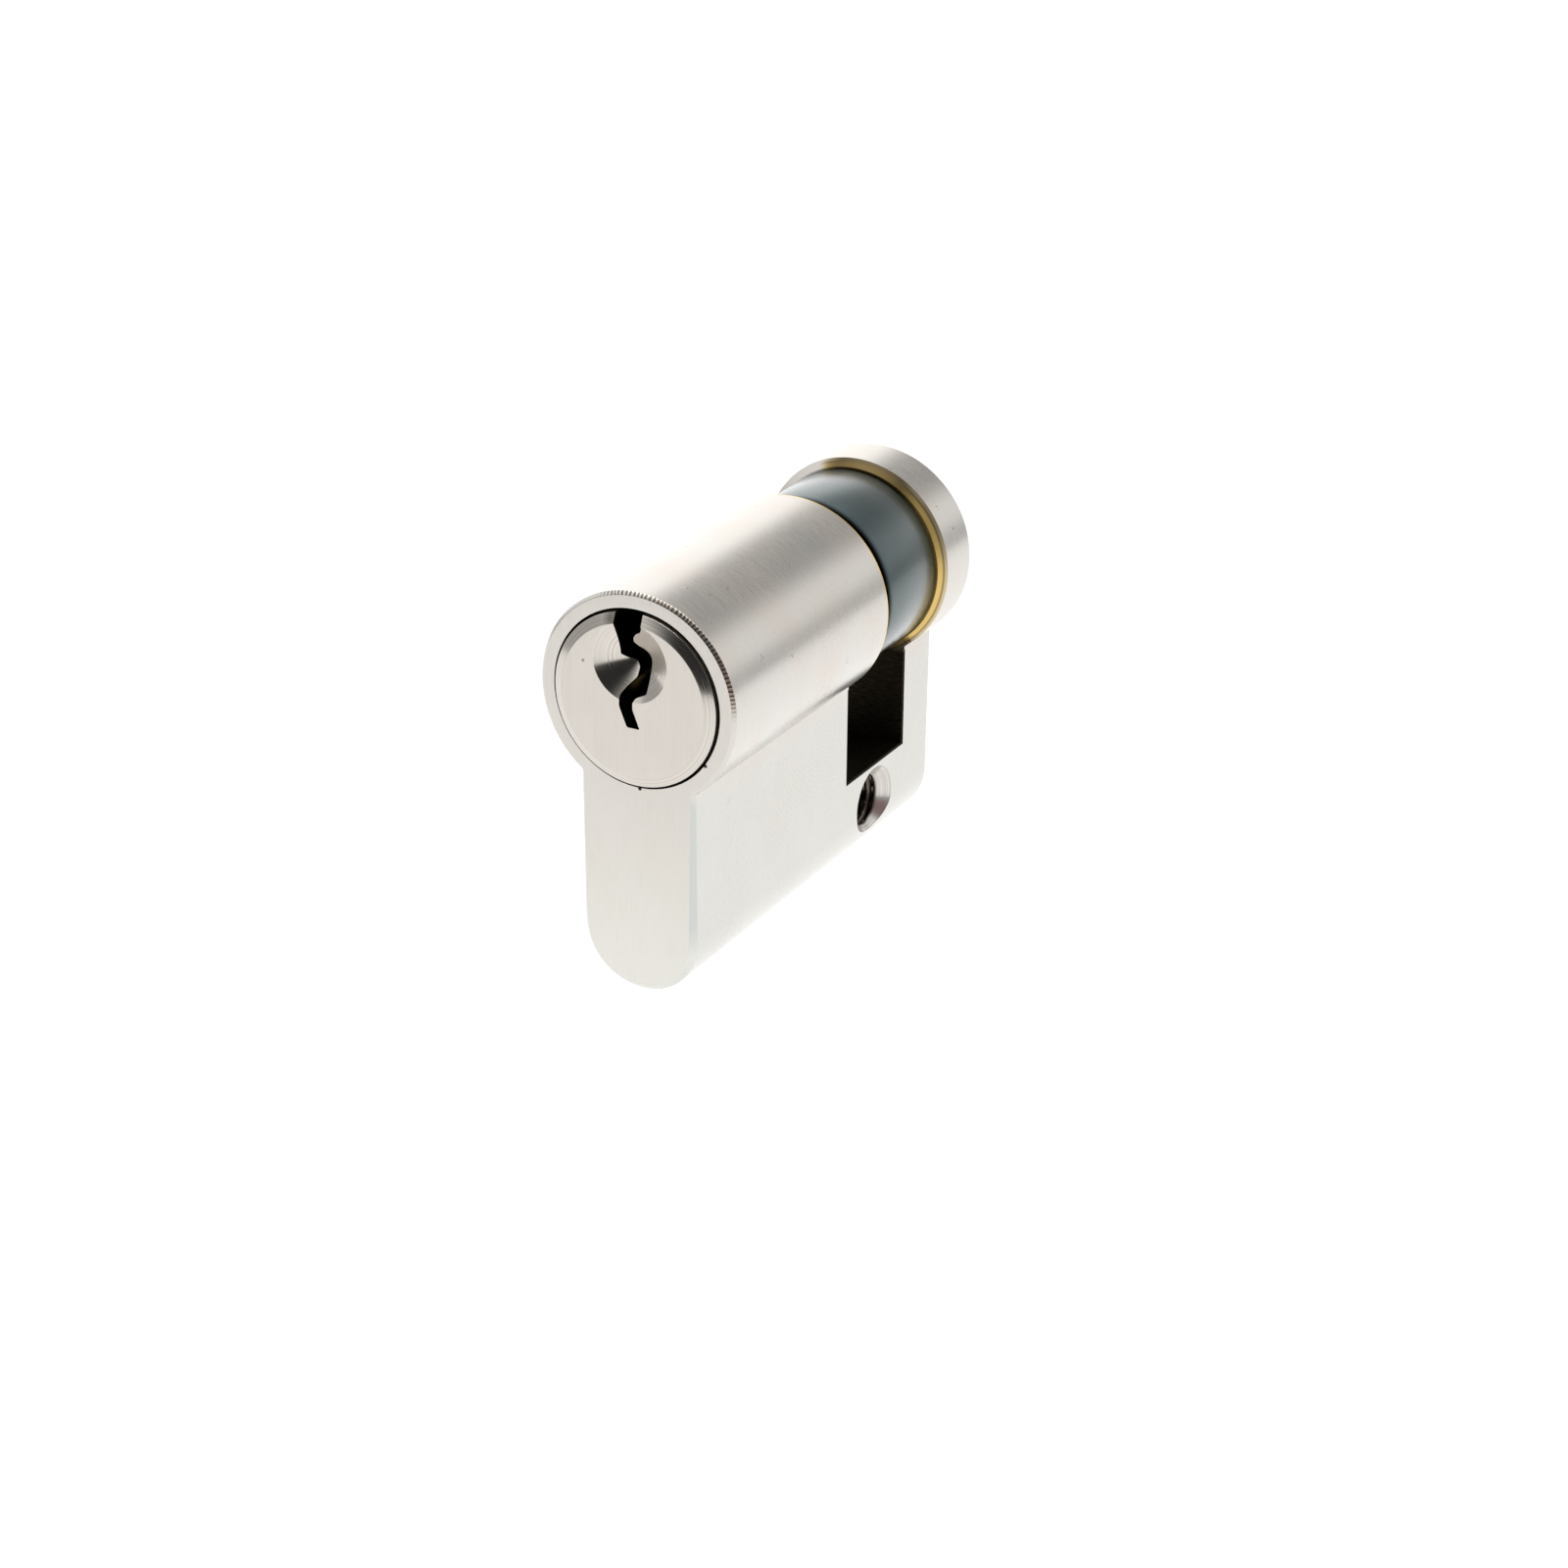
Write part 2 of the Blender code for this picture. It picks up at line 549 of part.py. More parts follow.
def build_pin_stack(parts, number, y, key_pin_length, axis):
    """One chamber's key pin, driver pin, spring and closing cap, from the plug downwards."""
    key_pin = turned(f"key_pin_{number}", parts, key_pin_profile(key_pin_length), SMALL_SEGMENTS,
                     (0, y, AXIS_Z - KEY_PIN_BASE), parent=axis)
    finish_piece(key_pin, BRASS)
    driver_base = DRIVER_TOP_Z - DRIVER_LENGTH
    driver = turned(f"driver_pin_{number}", parts,
                    plain_pin_profile(PIN_RADIUS, DRIVER_LENGTH, PIN_CHAMFER), SMALL_SEGMENTS,
                    (0, y, driver_base))
    finish_piece(driver, BRASS)
    spring_base = CAP_TOP_Z + RUNNING_GAP
    spring_length = driver_base - RUNNING_GAP - spring_base
    coil(f"pin_spring_{number}", parts, (0, y, spring_base), PIN_SPRING_WIRE, PIN_SPRING_RADIUS,
         PIN_SPRING_TURNS, spring_length)
    cap = turned(f"chamber_cap_{number}", parts,
                 plain_pin_profile(CHAMBER_RADIUS - RUNNING_GAP, CAP_LENGTH, PIN_CHAMFER),
                 SMALL_SEGMENTS, (0, y, CAP_BOTTOM_Z))
    finish_piece(cap, BRASS)


def build_plug_axis(parts):
    """The empty on the plug's joint axis, which carries what turns with the plug."""
    axis = bpy.data.objects.new("plug_axis", None)
    parts.objects.link(axis)
    axis.location = (0.0, FRONT_Y, AXIS_Z)
    axis.empty_display_size = BARREL_RADIUS
    return axis


def main():
    """Builds every piece of the cylinder."""
    clear_scene()
    parts = new_collection(PART_NAME)
    cutters = new_collection("cutters")
    axis = build_plug_axis(parts)
    build_housing(parts, cutters)
    build_plug(parts, cutters, axis)
    build_clip(parts, axis)
    build_cam(parts, cutters)
    build_coupling(parts, cutters, axis)
    build_rear_bearing(parts)
    for n, y in enumerate(PIN_YS):
        build_pin_stack(parts, n + 1, y, KEY_PIN_LENGTHS[n], axis)
    bpy.context.view_layer.update()


main()
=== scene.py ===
"""Looks of a half euro cylinder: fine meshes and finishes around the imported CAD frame.

The mesh code works in millimetres, and finish_piece() turns each finished mesh into metres.
+Y runs from the key side to the back, +Z is up and +X is to the right seen from the key side.
"""

from math import asin, atan2, copysign, cos, pi, radians, sin, sqrt, tau

import bmesh
import bpy
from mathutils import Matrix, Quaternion, Vector


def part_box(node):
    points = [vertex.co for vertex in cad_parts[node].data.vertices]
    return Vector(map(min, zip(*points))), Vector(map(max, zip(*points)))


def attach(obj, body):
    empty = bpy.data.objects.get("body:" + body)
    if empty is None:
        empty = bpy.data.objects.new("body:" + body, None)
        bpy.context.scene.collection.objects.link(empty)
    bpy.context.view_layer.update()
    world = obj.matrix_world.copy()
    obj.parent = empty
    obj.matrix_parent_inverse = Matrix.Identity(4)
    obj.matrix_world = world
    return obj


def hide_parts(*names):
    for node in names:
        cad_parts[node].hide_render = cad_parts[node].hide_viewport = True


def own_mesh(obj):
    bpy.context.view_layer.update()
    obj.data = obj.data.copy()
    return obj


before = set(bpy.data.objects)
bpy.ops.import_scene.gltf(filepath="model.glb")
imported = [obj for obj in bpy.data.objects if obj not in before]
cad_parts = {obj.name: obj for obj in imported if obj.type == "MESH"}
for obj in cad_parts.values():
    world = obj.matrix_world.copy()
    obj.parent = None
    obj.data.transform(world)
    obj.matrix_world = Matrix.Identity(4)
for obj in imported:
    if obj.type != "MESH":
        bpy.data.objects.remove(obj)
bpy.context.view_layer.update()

MM = 0.001


def box_mm(node):
    """A CAD node's lowest and highest corners in millimetres."""
    low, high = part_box(node)
    return [round(v / MM, 3) for v in low], [round(v / MM, 3) for v in high]


# Places and sizes read from the frame.
HOUSING_LOW, HOUSING_HIGH = box_mm("housing")
PLUG_LOW, PLUG_HIGH = box_mm("plug")
CAM_LOW, CAM_HIGH = box_mm("cam")
CLIP_LOW, CLIP_HIGH = box_mm("retaining_clip")
COUPLING_LOW, COUPLING_HIGH = box_mm("coupling")
BEARING_LOW, BEARING_HIGH = box_mm("rear_bearing")
PIN_NUMBERS = range(1, 6)
BARREL_RADIUS = HOUSING_HIGH[0]
AXIS_Z = HOUSING_HIGH[2] - BARREL_RADIUS
FRONT_Y = HOUSING_LOW[1]
BACK_Y = HOUSING_HIGH[1]
PLUG_HEAD_RADIUS = PLUG_HIGH[0]
PLUG_FACE_Y = PLUG_LOW[1]
CAM_RADIUS = CAM_HIGH[2] - AXIS_Z
CLIP_RADIUS = CLIP_HIGH[0]
BEARING_RADIUS = BEARING_HIGH[0]

# Housing, in millimetres. STEM_TOP is measured from the barrel's axis. STEM_Z is the height in the frame
# at which the stem's finish begins.
STEM_HALF = 5.0
STEM_Z = 12.0
JUNCTION_FILLET = 0.25
EDGE_CHAMFER = 0.25
STEM_CHAMFER = 0.46
STEM_TOP = -6.9
STEM_CHAMFER_RUN = 1.2
EDGE_SOFTNESS = 0.06
SLOT_HALF = 5.0
SLOT_BOTTOM_Z = 3.5
BORE_RADIUS = 6.55
BORE_END_Y = 8.4
HEAD_BORE_RADIUS = 7.2
HEAD_BORE_END_Y = FRONT_Y + 2.05
BORE_ROUNDING = 0.03
BORE_MOUTH_BREAK = 0.02
CHAMBER_RADIUS = 1.5
FRONT_SLOT_EDGE = 0.12
REAR_SLOT_EDGE = 0.62
STEM_SLOT_EDGE = 0.12
SLOT_EDGE_SPAN = (radians(-51), radians(231))
STEM_FRAME_DROP = 0.3
SCREW_MINOR = 2.1
SCREW_THREAD_DEPTH = 0.38
SCREW_PITCH = 0.8
SCREW_MOUTH = 3.1
SCREW_THREAD_START = 4.1
SCREW_RUN_OUT = 0.4
SCREW_FLANK_SLOPE = 2.6
SCREW_CREST_FLAT = 0.15

# Marks on the housing, in millimetres and degrees.
NICK_RADIUS = 7.28
NICK_ANGLES = (-88, -35)
OLIVE_BAND = 0.25
CHATTER_PITCH = 0.34
MILLING_CENTRE = (0.0, -6.0, 15.0)
MILLING_PITCH = 0.42
BLUSH_CENTRE = (0.0, 2.1, -1.5)

# Heights between which the nickel is painted lighter towards the foot, as painted light.
FACE_LIGHT_FADE = (11.0, -3.0)
CHAMFER_LIGHT_FADE = (1.0, -1.5)

# Plug, in millimetres.
PLUG_RADIUS = 6.5
PLUG_FACE_RADIUS = 6.2
PLUG_RIM_Y = FRONT_Y - 0.22
PLUG_ROUNDING = 0.05
PLUG_FACE_MARGIN = 0.4
BEVEL_DARK_SPOT = (-1.72, 0.0, AXIS_Z + 6.42)
FACE_DENT = (-4.25, 0.0, AXIS_Z + 2.55)
KEYWAY_ROUNDING = 0.14
# Centre of a painted glint in the keyway.
KEYWAY_GLINT_PATCH = (-0.7, FRONT_Y + 2.2, AXIS_Z + 0.8)
HEAD_END_Y = FRONT_Y + 2.0
CLIP_GAP = 0.05
TAIL_CHAMFER = 0.15
TAIL_SLOT_Y = -5.6
TAIL_SLOT_HALF = 1.6
BOSS_RADIUS = 2.65
DRIVE_GAP = 0.1
ENTRY_CENTRE = (-0.2, 3.08)
ENTRY_RADIUS = 3.22
ENTRY_SLOPE = 0.58
ENTRY_TIP = 0.05
PLUG_CHAMBER_TOP = 2.6
KEYWAY_LEFT = [(-1.6, 7.6), (-1.58, 3.2), (-1.1, 2.92), (-0.45, 2.75), (-0.12, 2.3),
               (-0.14, 1.65), (-0.75, 0.95), (-1.14, 0.35), (-1.15, -0.55), (-0.48, -2.15)]
KEYWAY_RIGHT = [(0.64, -2.15), (0.02, -0.65), (0.02, -0.08), (0.2, 0.25), (1.08, 0.68),
                (1.14, 3.35), (0.8, 3.72), (-0.2, 4.05), (-0.45, 4.4), (-0.35, 4.8),
                (0.0, 5.22), (0.45, 5.45), (0.8, 5.95), (0.75, 7.6)]

# Cam and coupling, in millimetres.
LEVER_RADIUS = 15.0
LEVER_ANGLE = radians(210)
LEVER_ROOT_HALF = 3.6
LEVER_TIP_HALF = 3.0
LEVER_FILLET = 0.9
CAM_EDGE_SOFTNESS = 0.07
CAM_FRONT_RECESS = (7.1, 0.9)
CAM_REAR_RECESS = (6.6, 3.5)
DRIVE_SLOT_ROOM = 0.3
DRIVE_SLOT_OVERLAP = 0.7
BOSS_OVERLAP = 0.5
COUPLING_BAR_RADIUS = 5.5
COUPLING_HALF = 1.5
COUPLING_TIP_HALF = 1.45
COUPLING_SOFTNESS = 0.1
SPRING_POCKET = (2.05, 3.1)

# Pins, springs, clip and bearing, in millimetres. A spring has its wire and its number of turns.
PIN_CHAMFER = 0.2
PIN_ROUNDING = 0.06
PIN_END_RING = 0.1
KEY_PIN_TIP = 0.45
KEY_PIN_ROUNDING = 0.12
CAP_CHAMFER = 0.12
PIN_SPRING = (0.35, 7)
COUPLING_SPRING = (0.4, 5)
CLOSED_PITCH = 1.2
CLIP_INNER_RADIUS = 5.8
CLIP_ROUNDING = 0.08
CLIP_MOUTH = radians(50)
BEARING_END_RING = 0.4
BEARING_ROUNDING = 0.05

# Fineness of round shapes.
FINE = 256
MEDIUM = 128
SMALL = 64
BARREL_STEPS = 150
FOOT_STEPS = 48
FILLET_STEPS = 8
SLOT_EDGE_STEPS = 200
RING_STEPS = 190
TIP_STEPS = 16
LEVER_FILLET_STEPS = 6
BOSS_STEPS = 32
BAR_END_STEPS = 12
THREAD_STEPS = 12
POINTS_PER_TURN = 36
WIRE_SIDES = 16

# Edges that turn by more than these angles are shaded sharp, and rounded by soften().
SHARP_ANGLE = radians(28)
SOFTENED_ANGLE = radians(40)

# How far a cutting shape stands beyond what it cuts, in millimetres.
REACH = 1.0
WEDGE_REACH = 0.4


# ---- shapes

def about_barrel(x, z, y):
    """Places a turned shape on the barrel's axis."""
    return Vector((x, y, AXIS_Z + z))


def upright(centre_y):
    """Places a turned shape on a pin chamber's axis."""
    return lambda x, y, z: Vector((x, centre_y + y, z))


def arc(radius, start, end, steps, centre=(0.0, 0.0)):
    """Points of an arc, both ends included."""
    angles = [start + (end - start) * n / steps for n in range(steps + 1)]
    return [(centre[0] + radius * cos(a), centre[1] + radius * sin(a)) for a in angles]


def rounded(points, radius, closed=False, steps=4):
    """The same line of points with its corners rounded."""
    count = len(points)
    result = []
    for n, corner in enumerate(points):
        if not closed and n in (0, count - 1):
            result.append(corner)
            continue
        corner = Vector(corner)
        before = Vector(points[n - 1]) - corner
        after = Vector(points[(n + 1) % count]) - corner
        reach = min(radius, 0.45 * before.length, 0.45 * after.length)
        start = corner + before.normalized() * reach
        end = corner + after.normalized() * reach
        for step in range(steps + 1):
            t = step / steps
            point = start * (1 - t) ** 2 + corner * 2 * t * (1 - t) + end * t ** 2
            result.append((point.x, point.y))
    return result


def skin(name, rings, finish):
    """A closed solid through rings of points that match one to one."""
    shape = bmesh.new()
    rows = [[shape.verts.new(point) for point in ring] for ring in rings]
    count = len(rows[0])
    for low, high in zip(rows, rows[1:]):
        for n in range(count):
            m = (n + 1) % count
            shape.faces.new((low[n], low[m], high[m], high[n]))
    shape.faces.new(rows[0][::-1])
    shape.faces.new(rows[-1])
    bmesh.ops.recalc_face_normals(shape, faces=shape.faces)
    mesh = bpy.data.meshes.new(name)
    shape.to_mesh(mesh)
    shape.free()
    mesh.materials.append(finish)
    obj = bpy.data.objects.new(name, mesh)
    bpy.context.scene.collection.objects.link(obj)
    return obj


def turned(name, profile, segments, place, finish):
    """A turned solid from (radius, height) points."""
    angles = [tau * n / segments for n in range(segments)]
    rings = [[place(r * cos(a), r * sin(a), h) for a in angles] for r, h in profile]
    return skin(name, rings, finish)


def swept(name, profile, start, end, steps, place, finish):
    """A profile of (radius, height) points carried through part of a turn."""
    angles = [start + (end - start) * n / steps for n in range(steps + 1)]
    rings = [[place(r * cos(a), r * sin(a), h) for r, h in profile] for a in angles]
    return skin(name, rings, finish)


def drawn(name, outline, start_y, end_y, finish):
    """An outline of (x, z) points about the barrel's axis, drawn out along Y."""
    return skin(name, [[about_barrel(x, z, y) for x, z in outline] for y in (start_y, end_y)], finish)


def box_piece(name, low, high, finish):
    """A box between two corners."""
    rings = [[(x, low[1], low[2]), (x, high[1], low[2]), (x, high[1], high[2]), (x, low[1], high[2])]
             for x in (low[0], high[0])]
    return skin(name, rings, finish)


def bake(obj):
    """Applies a piece's modifiers to its mesh."""
    graph = bpy.context.evaluated_depsgraph_get()
    mesh = bpy.data.meshes.new_from_object(obj.evaluated_get(graph))
    obj.modifiers.clear()
    obj.data = mesh


def carve(obj, cutters):
    """Takes the cutters' shapes out of a piece. The cut faces keep the cutter's finish."""
    for cutter in cutters:
        modifier = obj.modifiers.new(cutter.name, "BOOLEAN")
        modifier.operation = "DIFFERENCE"
        modifier.solver = "EXACT"
        modifier.material_mode = "TRANSFER"
        modifier.object = cutter
    bake(obj)
    for cutter in cutters:
        bpy.data.objects.remove(cutter, do_unlink=True)


def soften(obj, width, segments=3):
    """Rounds a piece's sharp edges."""
    modifier = obj.modifiers.new("Soft edges", "BEVEL")
    modifier.width = width
    modifier.segments = segments
    modifier.limit_method = "ANGLE"
    modifier.angle_limit = SOFTENED_ANGLE
    bake(obj)


def finish_piece(obj, body, slot, *nodes):
    """Turns a piece into metres, shades it, and hands it to the frame."""
    mesh = obj.data
    for vertex in mesh.vertices:
        vertex.co *= MM
    mesh.shade_smooth()
    mesh.set_sharp_from_angle(angle=SHARP_ANGLE)
    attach(obj, body)
    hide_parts(*nodes)
    return obj


def repaint(obj, finish, chosen):
    """Gives another finish to the faces that chosen(centre, normal) picks."""
    mesh = obj.data
    mesh.materials.append(finish)
    for face in mesh.polygons:
        if face.material_index == 0 and chosen(face.center, face.normal):
            face.material_index = len(mesh.materials) - 1


# ---- finishes

def fill(tree, socket, value):
    """Links a socket to another, or sets its value."""
    if isinstance(value, bpy.types.NodeSocket):
        tree.links.new(value, socket)
    else:
        socket.default_value = value


def add_node(tree, kind, inputs, output=0, **settings):
    """Adds a node to a tree and gives one of its outputs."""
    node = tree.nodes.new(kind)
    for key, value in settings.items():
        setattr(node, key, value)
    for key, value in inputs.items():
        fill(tree, node.inputs[key], value)
    return node.outputs[output]


class Finish:
    """A surface's node tree, with short ways to add nodes and links."""

    def __init__(self, name, roughness, metallic=1.0):
        self.material = bpy.data.materials.new(name)
        self.material.use_nodes = True
        self.tree = self.material.node_tree
        self.shader = self.tree.nodes["Principled BSDF"]
        self.shader.inputs["Roughness"].default_value = roughness
        self.shader.inputs["Metallic"].default_value = metallic

    def put(self, socket, value):
        """Links a socket to another, or sets its value."""
        fill(self.tree, socket, value)

    def node(self, kind, inputs, output=0, **settings):
        """Adds a node and gives one of its outputs."""
        return add_node(self.tree, kind, inputs, output, **settings)

    def math(self, operation, *values):
        """A Math node."""
        return self.node("ShaderNodeMath", dict(enumerate(values)), operation=operation)

    def place(self, scale=(1.0, 1.0, 1.0), offset=(0.0, 0.0, 0.0)):
        """Object coordinates in millimetres from an offset, stretched by scale."""
        coordinates = self.node("ShaderNodeTexCoord", {}, "Object")
        scaled = [s / MM for s in scale]
        moved = [-s * o for s, o in zip(scale, offset)]
        return self.node("ShaderNodeMapping", {"Vector": coordinates, "Scale": scaled, "Location": moved})

    def noise(self, vector, detail=2.0, roughness=0.5):
        """A noise texture's value."""
        return self.node("ShaderNodeTexNoise", {"Vector": vector, "Scale": 1.0, "Detail": detail,
                                                "Roughness": roughness})

    def spread(self, value, low, high, new_low=0.0, new_high=1.0, smooth=False):
        """Maps a value from one range to another, kept inside it."""
        kind = "SMOOTHSTEP" if smooth else "LINEAR"
        return self.node("ShaderNodeMapRange", {"Value": value, "From Min": low, "From Max": high,
                                                "To Min": new_low, "To Max": new_high},
                         interpolation_type=kind)

    def mix(self, factor, first, second):
        """One colour laid over another."""
        colours = [(*c, 1.0) if isinstance(c, tuple) else c for c in (first, second)]
        return self.node("ShaderNodeMix", {0: factor, 6: colours[0], 7: colours[1]}, 2, data_type="RGBA")

    def axis(self, vector, name):
        """One component of a vector."""
        return self.node("ShaderNodeSeparateXYZ", {"Vector": vector}, name)

    def radius(self, offset, scale=(1.0, 0.0, 1.0)):
        """The distance in millimetres from an axis along Y.

        Another scale gives the distance from another axis, or from a point.
        """
        return self.node("ShaderNodeVectorMath", {0: self.place(scale, offset)}, "Value",
                         operation="LENGTH")

    def turn(self):
        """The angle about the barrel's axis, 0 along +X and a quarter turn at the top."""
        place = self.place(offset=(0.0, 0.0, AXIS_Z))
        return self.math("ARCTAN2", self.axis(place, "Z"), self.axis(place, "X"))

    def sector(self, angle, centre, inner, outer):
        """1 within inner degrees of a centre angle, falling to 0 at outer degrees."""
        away = self.math("ABSOLUTE", self.math("SUBTRACT", angle, radians(centre)))
        return self.spread(away, radians(outer), radians(inner), smooth=True)

    def rings(self, distance, density):
        """Noise that depends on one distance only, for turned grooves."""
        return self.node("ShaderNodeTexNoise", {"W": distance, "Scale": density, "Detail": 3.0},
                         noise_dimensions="1D")

    def bump(self, height, depth):
        """Adds to the surface's relief. depth is the height of a full step, in millimetres."""
        before = self.shader.inputs["Normal"]
        inputs = {"Height": height, "Distance": depth * MM, "Strength": 1.0}
        if before.links:
            inputs["Normal"] = before.links[0].from_socket
        self.put(before, self.node("ShaderNodeBump", inputs))

    def look(self, colour, roughness=None):
        """Sets the shader's colour and roughness."""
        self.put(self.shader.inputs["Base Color"], colour)
        if roughness is not None:
            self.put(self.shader.inputs["Roughness"], roughness)
        return self.material


NICKEL = (0.60, 0.582, 0.552)
NICKEL_WARM = (0.60, 0.562, 0.518)
NICKEL_DARK = (0.47, 0.44, 0.40)
STEM_NICKEL = (0.585, 0.585, 0.555)
FACE_NICKEL = (0.605, 0.582, 0.545)
FACE_NICKEL_WARM = (0.60, 0.568, 0.528)
# Painted light: the end faces lighter towards the foot.
FOOT_NICKEL_LIT = (0.655, 0.645, 0.60)
CHAMFER_STEM = (0.525, 0.54, 0.525)
# Painted light: the stem's chamfer lighter towards the foot.
CHAMFER_FOOT_LIT = (0.64, 0.64, 0.61)
# Painted shade on the front chamfer's top and upper right.
CHAMFER_SHADE = (0.24, 0.20, 0.16)
CHAMFER_DEEP_SHADE = (0.22, 0.18, 0.14)
CHAMFER_WARM = (0.42, 0.22, 0.13)
CHATTER_DARK = (0.07, 0.055, 0.045)
HOLE_BLUSH = (0.50, 0.26, 0.25)
# Painted shade down the threaded hole.
HOLE_SHADE = (0.06, 0.045, 0.03)
PLUG_NICKEL = (0.61, 0.575, 0.53)
BEVEL_DARK = (0.12, 0.105, 0.09)
SPECK = (0.12, 0.10, 0.085)
NICK = (0.015, 0.013, 0.01)
WORN_EDGE = (0.72, 0.55, 0.27)
BRASS = (0.62, 0.44, 0.16)
BRASS_BRIGHT = (0.70, 0.49, 0.17)
BRASS_DEEP = (0.42, 0.29, 0.10)
# Painted shade deep in the cam slot.
SLOT_SHADE_DARK = (0.012, 0.009, 0.006)
BRASS_OLIVE = (0.52, 0.44, 0.30)
# Painted shade over the top of the cam slot's brass and its olive band.
BRASS_TOP_SHADE = (0.085, 0.058, 0.02)
OLIVE_TOP_SHADE = (0.055, 0.042, 0.02)
PLATED_PATCH = (0.60, 0.57, 0.54)
BAND_LINE = (0.08, 0.055, 0.02)
# Painted shade inside the keyway.
KEYWAY_SHADE_BROWN = (0.045, 0.034, 0.018)
KEYWAY_SHADE_DARK = (0.02, 0.015, 0.009)
# Painted shade in the plug's running gap.
GAP_SHADE_BLACK = (0.012, 0.010, 0.008)
GAP_SHADE_BROWN = (0.05, 0.036, 0.02)
CAM_STEEL = (0.054, 0.083, 0.086)
CAM_STEEL_DARK = (0.042, 0.066, 0.070)
CAM_GRAIN = (0.03, 0.042, 0.045)
# Painted shade along the cam ring's edges.
CAM_EDGE_SHADE = (0.010, 0.011, 0.011)
SPRING_STEEL = (0.50, 0.50, 0.49)
SPRING_STEEL_DARK = (0.36, 0.36, 0.36)
SINTERED = (0.30, 0.30, 0.30)
SINTERED_DARK = (0.16, 0.16, 0.165)


def specks(f, density):
    """Sparse small marks, 1 inside a mark and 0 elsewhere."""
    scattered = f.noise(f.place((density * 2.2, density, density * 1.4)), detail=0.0)
    fine = f.noise(f.place((5.0, 3.0, 5.0)), detail=2.0)
    return f.spread(f.math("MULTIPLY", scattered, fine), 0.4836, 0.546)


def worn_front_edge(f, along, cross):
    """1 on the slot's ragged front edge, where the nickel has worn off, and 0 elsewhere."""
    ragged = f.math("MULTIPLY_ADD", cross, 0.10, -0.05)
    edge = f.spread(f.math("ABSOLUTE", f.math("ADD", along, ragged)), SLOT_HALF + 0.34, SLOT_HALF + 0.22)
    height = f.spread(f.axis(f.place(), "Z"), STEM_Z, STEM_Z + 1.5)
    front_part = f.spread(along, -SLOT_HALF + 0.2, -SLOT_HALF)
    return f.math("MULTIPLY", f.math("MULTIPLY", edge, height), front_part)


def milling_arcs(f, low):
    """The patches of faint milling arcs on the stem's sides."""
    sweep = f.radius(MILLING_CENTRE, (0.0, 1.0, 1.0))
    arcs = f.math("SINE", f.math("MULTIPLY", sweep, tau / MILLING_PITCH))
    patches = f.spread(f.noise(f.place((0.22, 0.22, 0.22), (3.0, 1.0, 4.0)), detail=1.0), 0.46, 0.62)
    return f.math("MULTIPLY", f.math("MULTIPLY", f.spread(arcs, 0.0, 1.0), patches), low)


def nickel_skin():
    """Satin nickel of the barrel and stem, worn through to brass on the slot's front edge."""
    f = Finish("nickel_skin", 0.27)
    grain = f.noise(f.place((0.7, 12.0, 0.7)), detail=5.0, roughness=0.65)
    cross = f.noise(f.place((3.5, 3.5, 3.5)), detail=4.0, roughness=0.6)
    cloud = f.noise(f.place((0.12, 0.16, 0.12)), detail=3.0)
    along = f.axis(f.place(), "Y")
    low = f.spread(f.axis(f.place(), "Z"), STEM_Z, STEM_Z - 1.5)
    tone = f.mix(f.spread(cloud, 0.4, 0.62), NICKEL, NICKEL_WARM)
    tone = f.mix(f.math("MULTIPLY", f.spread(grain, 0.52, 0.75), 0.08), tone, NICKEL_DARK)
    tone = f.mix(f.math("MULTIPLY", specks(f, 0.55), 0.55), tone, SPECK)
    tone = f.mix(worn_front_edge(f, along, cross), tone, WORN_EDGE)
    tone = f.mix(f.math("MULTIPLY", low, 0.7), tone, STEM_NICKEL)
    tone = f.mix(f.math("MULTIPLY", milling_arcs(f, low), 0.16), tone, NICKEL_DARK)
    f.bump(grain, 0.0004)
    f.bump(cross, 0.0004)
    rough = f.math("ADD", f.spread(grain, 0.3, 0.7, 0.20, 0.30), f.spread(cloud, 0.3, 0.7, -0.02, 0.03))
    return f.look(tone, rough)


def nickel_face():
    """Nickel of the end faces, with fine upright brushing and two nicks at the bore's rim."""
    f = Finish("nickel_face", 0.32)
    grain = f.noise(f.place((9.0, 1.0, 0.35)), detail=4.0, roughness=0.7)
    cloud = f.noise(f.place((0.2, 0.2, 0.12)), detail=3.0)
    tone = f.mix(f.spread(cloud, 0.38, 0.62), FACE_NICKEL, FACE_NICKEL_WARM)
    # Painted light: the end faces lighter towards the foot.
    tone = f.mix(f.spread(f.axis(f.place(), "Z"), *FACE_LIGHT_FADE), tone, FOOT_NICKEL_LIT)
    for degrees in NICK_ANGLES:
        angle = radians(degrees)
        nick = (NICK_RADIUS * cos(angle), FRONT_Y, AXIS_Z + NICK_RADIUS * sin(angle))
        tone = f.mix(f.spread(f.radius(nick, (1.0, 1.0, 1.0)), 0.19, 0.12), tone, NICK)
    tone = f.mix(f.math("MULTIPLY", f.spread(grain, 0.5, 0.8), 0.20), tone, NICKEL_DARK)
    tone = f.mix(f.math("MULTIPLY", specks(f, 0.7), 0.5), tone, SPECK)
    f.bump(grain, 0.0014)
    return f.look(tone, f.spread(grain, 0.3, 0.7, 0.27, 0.38))


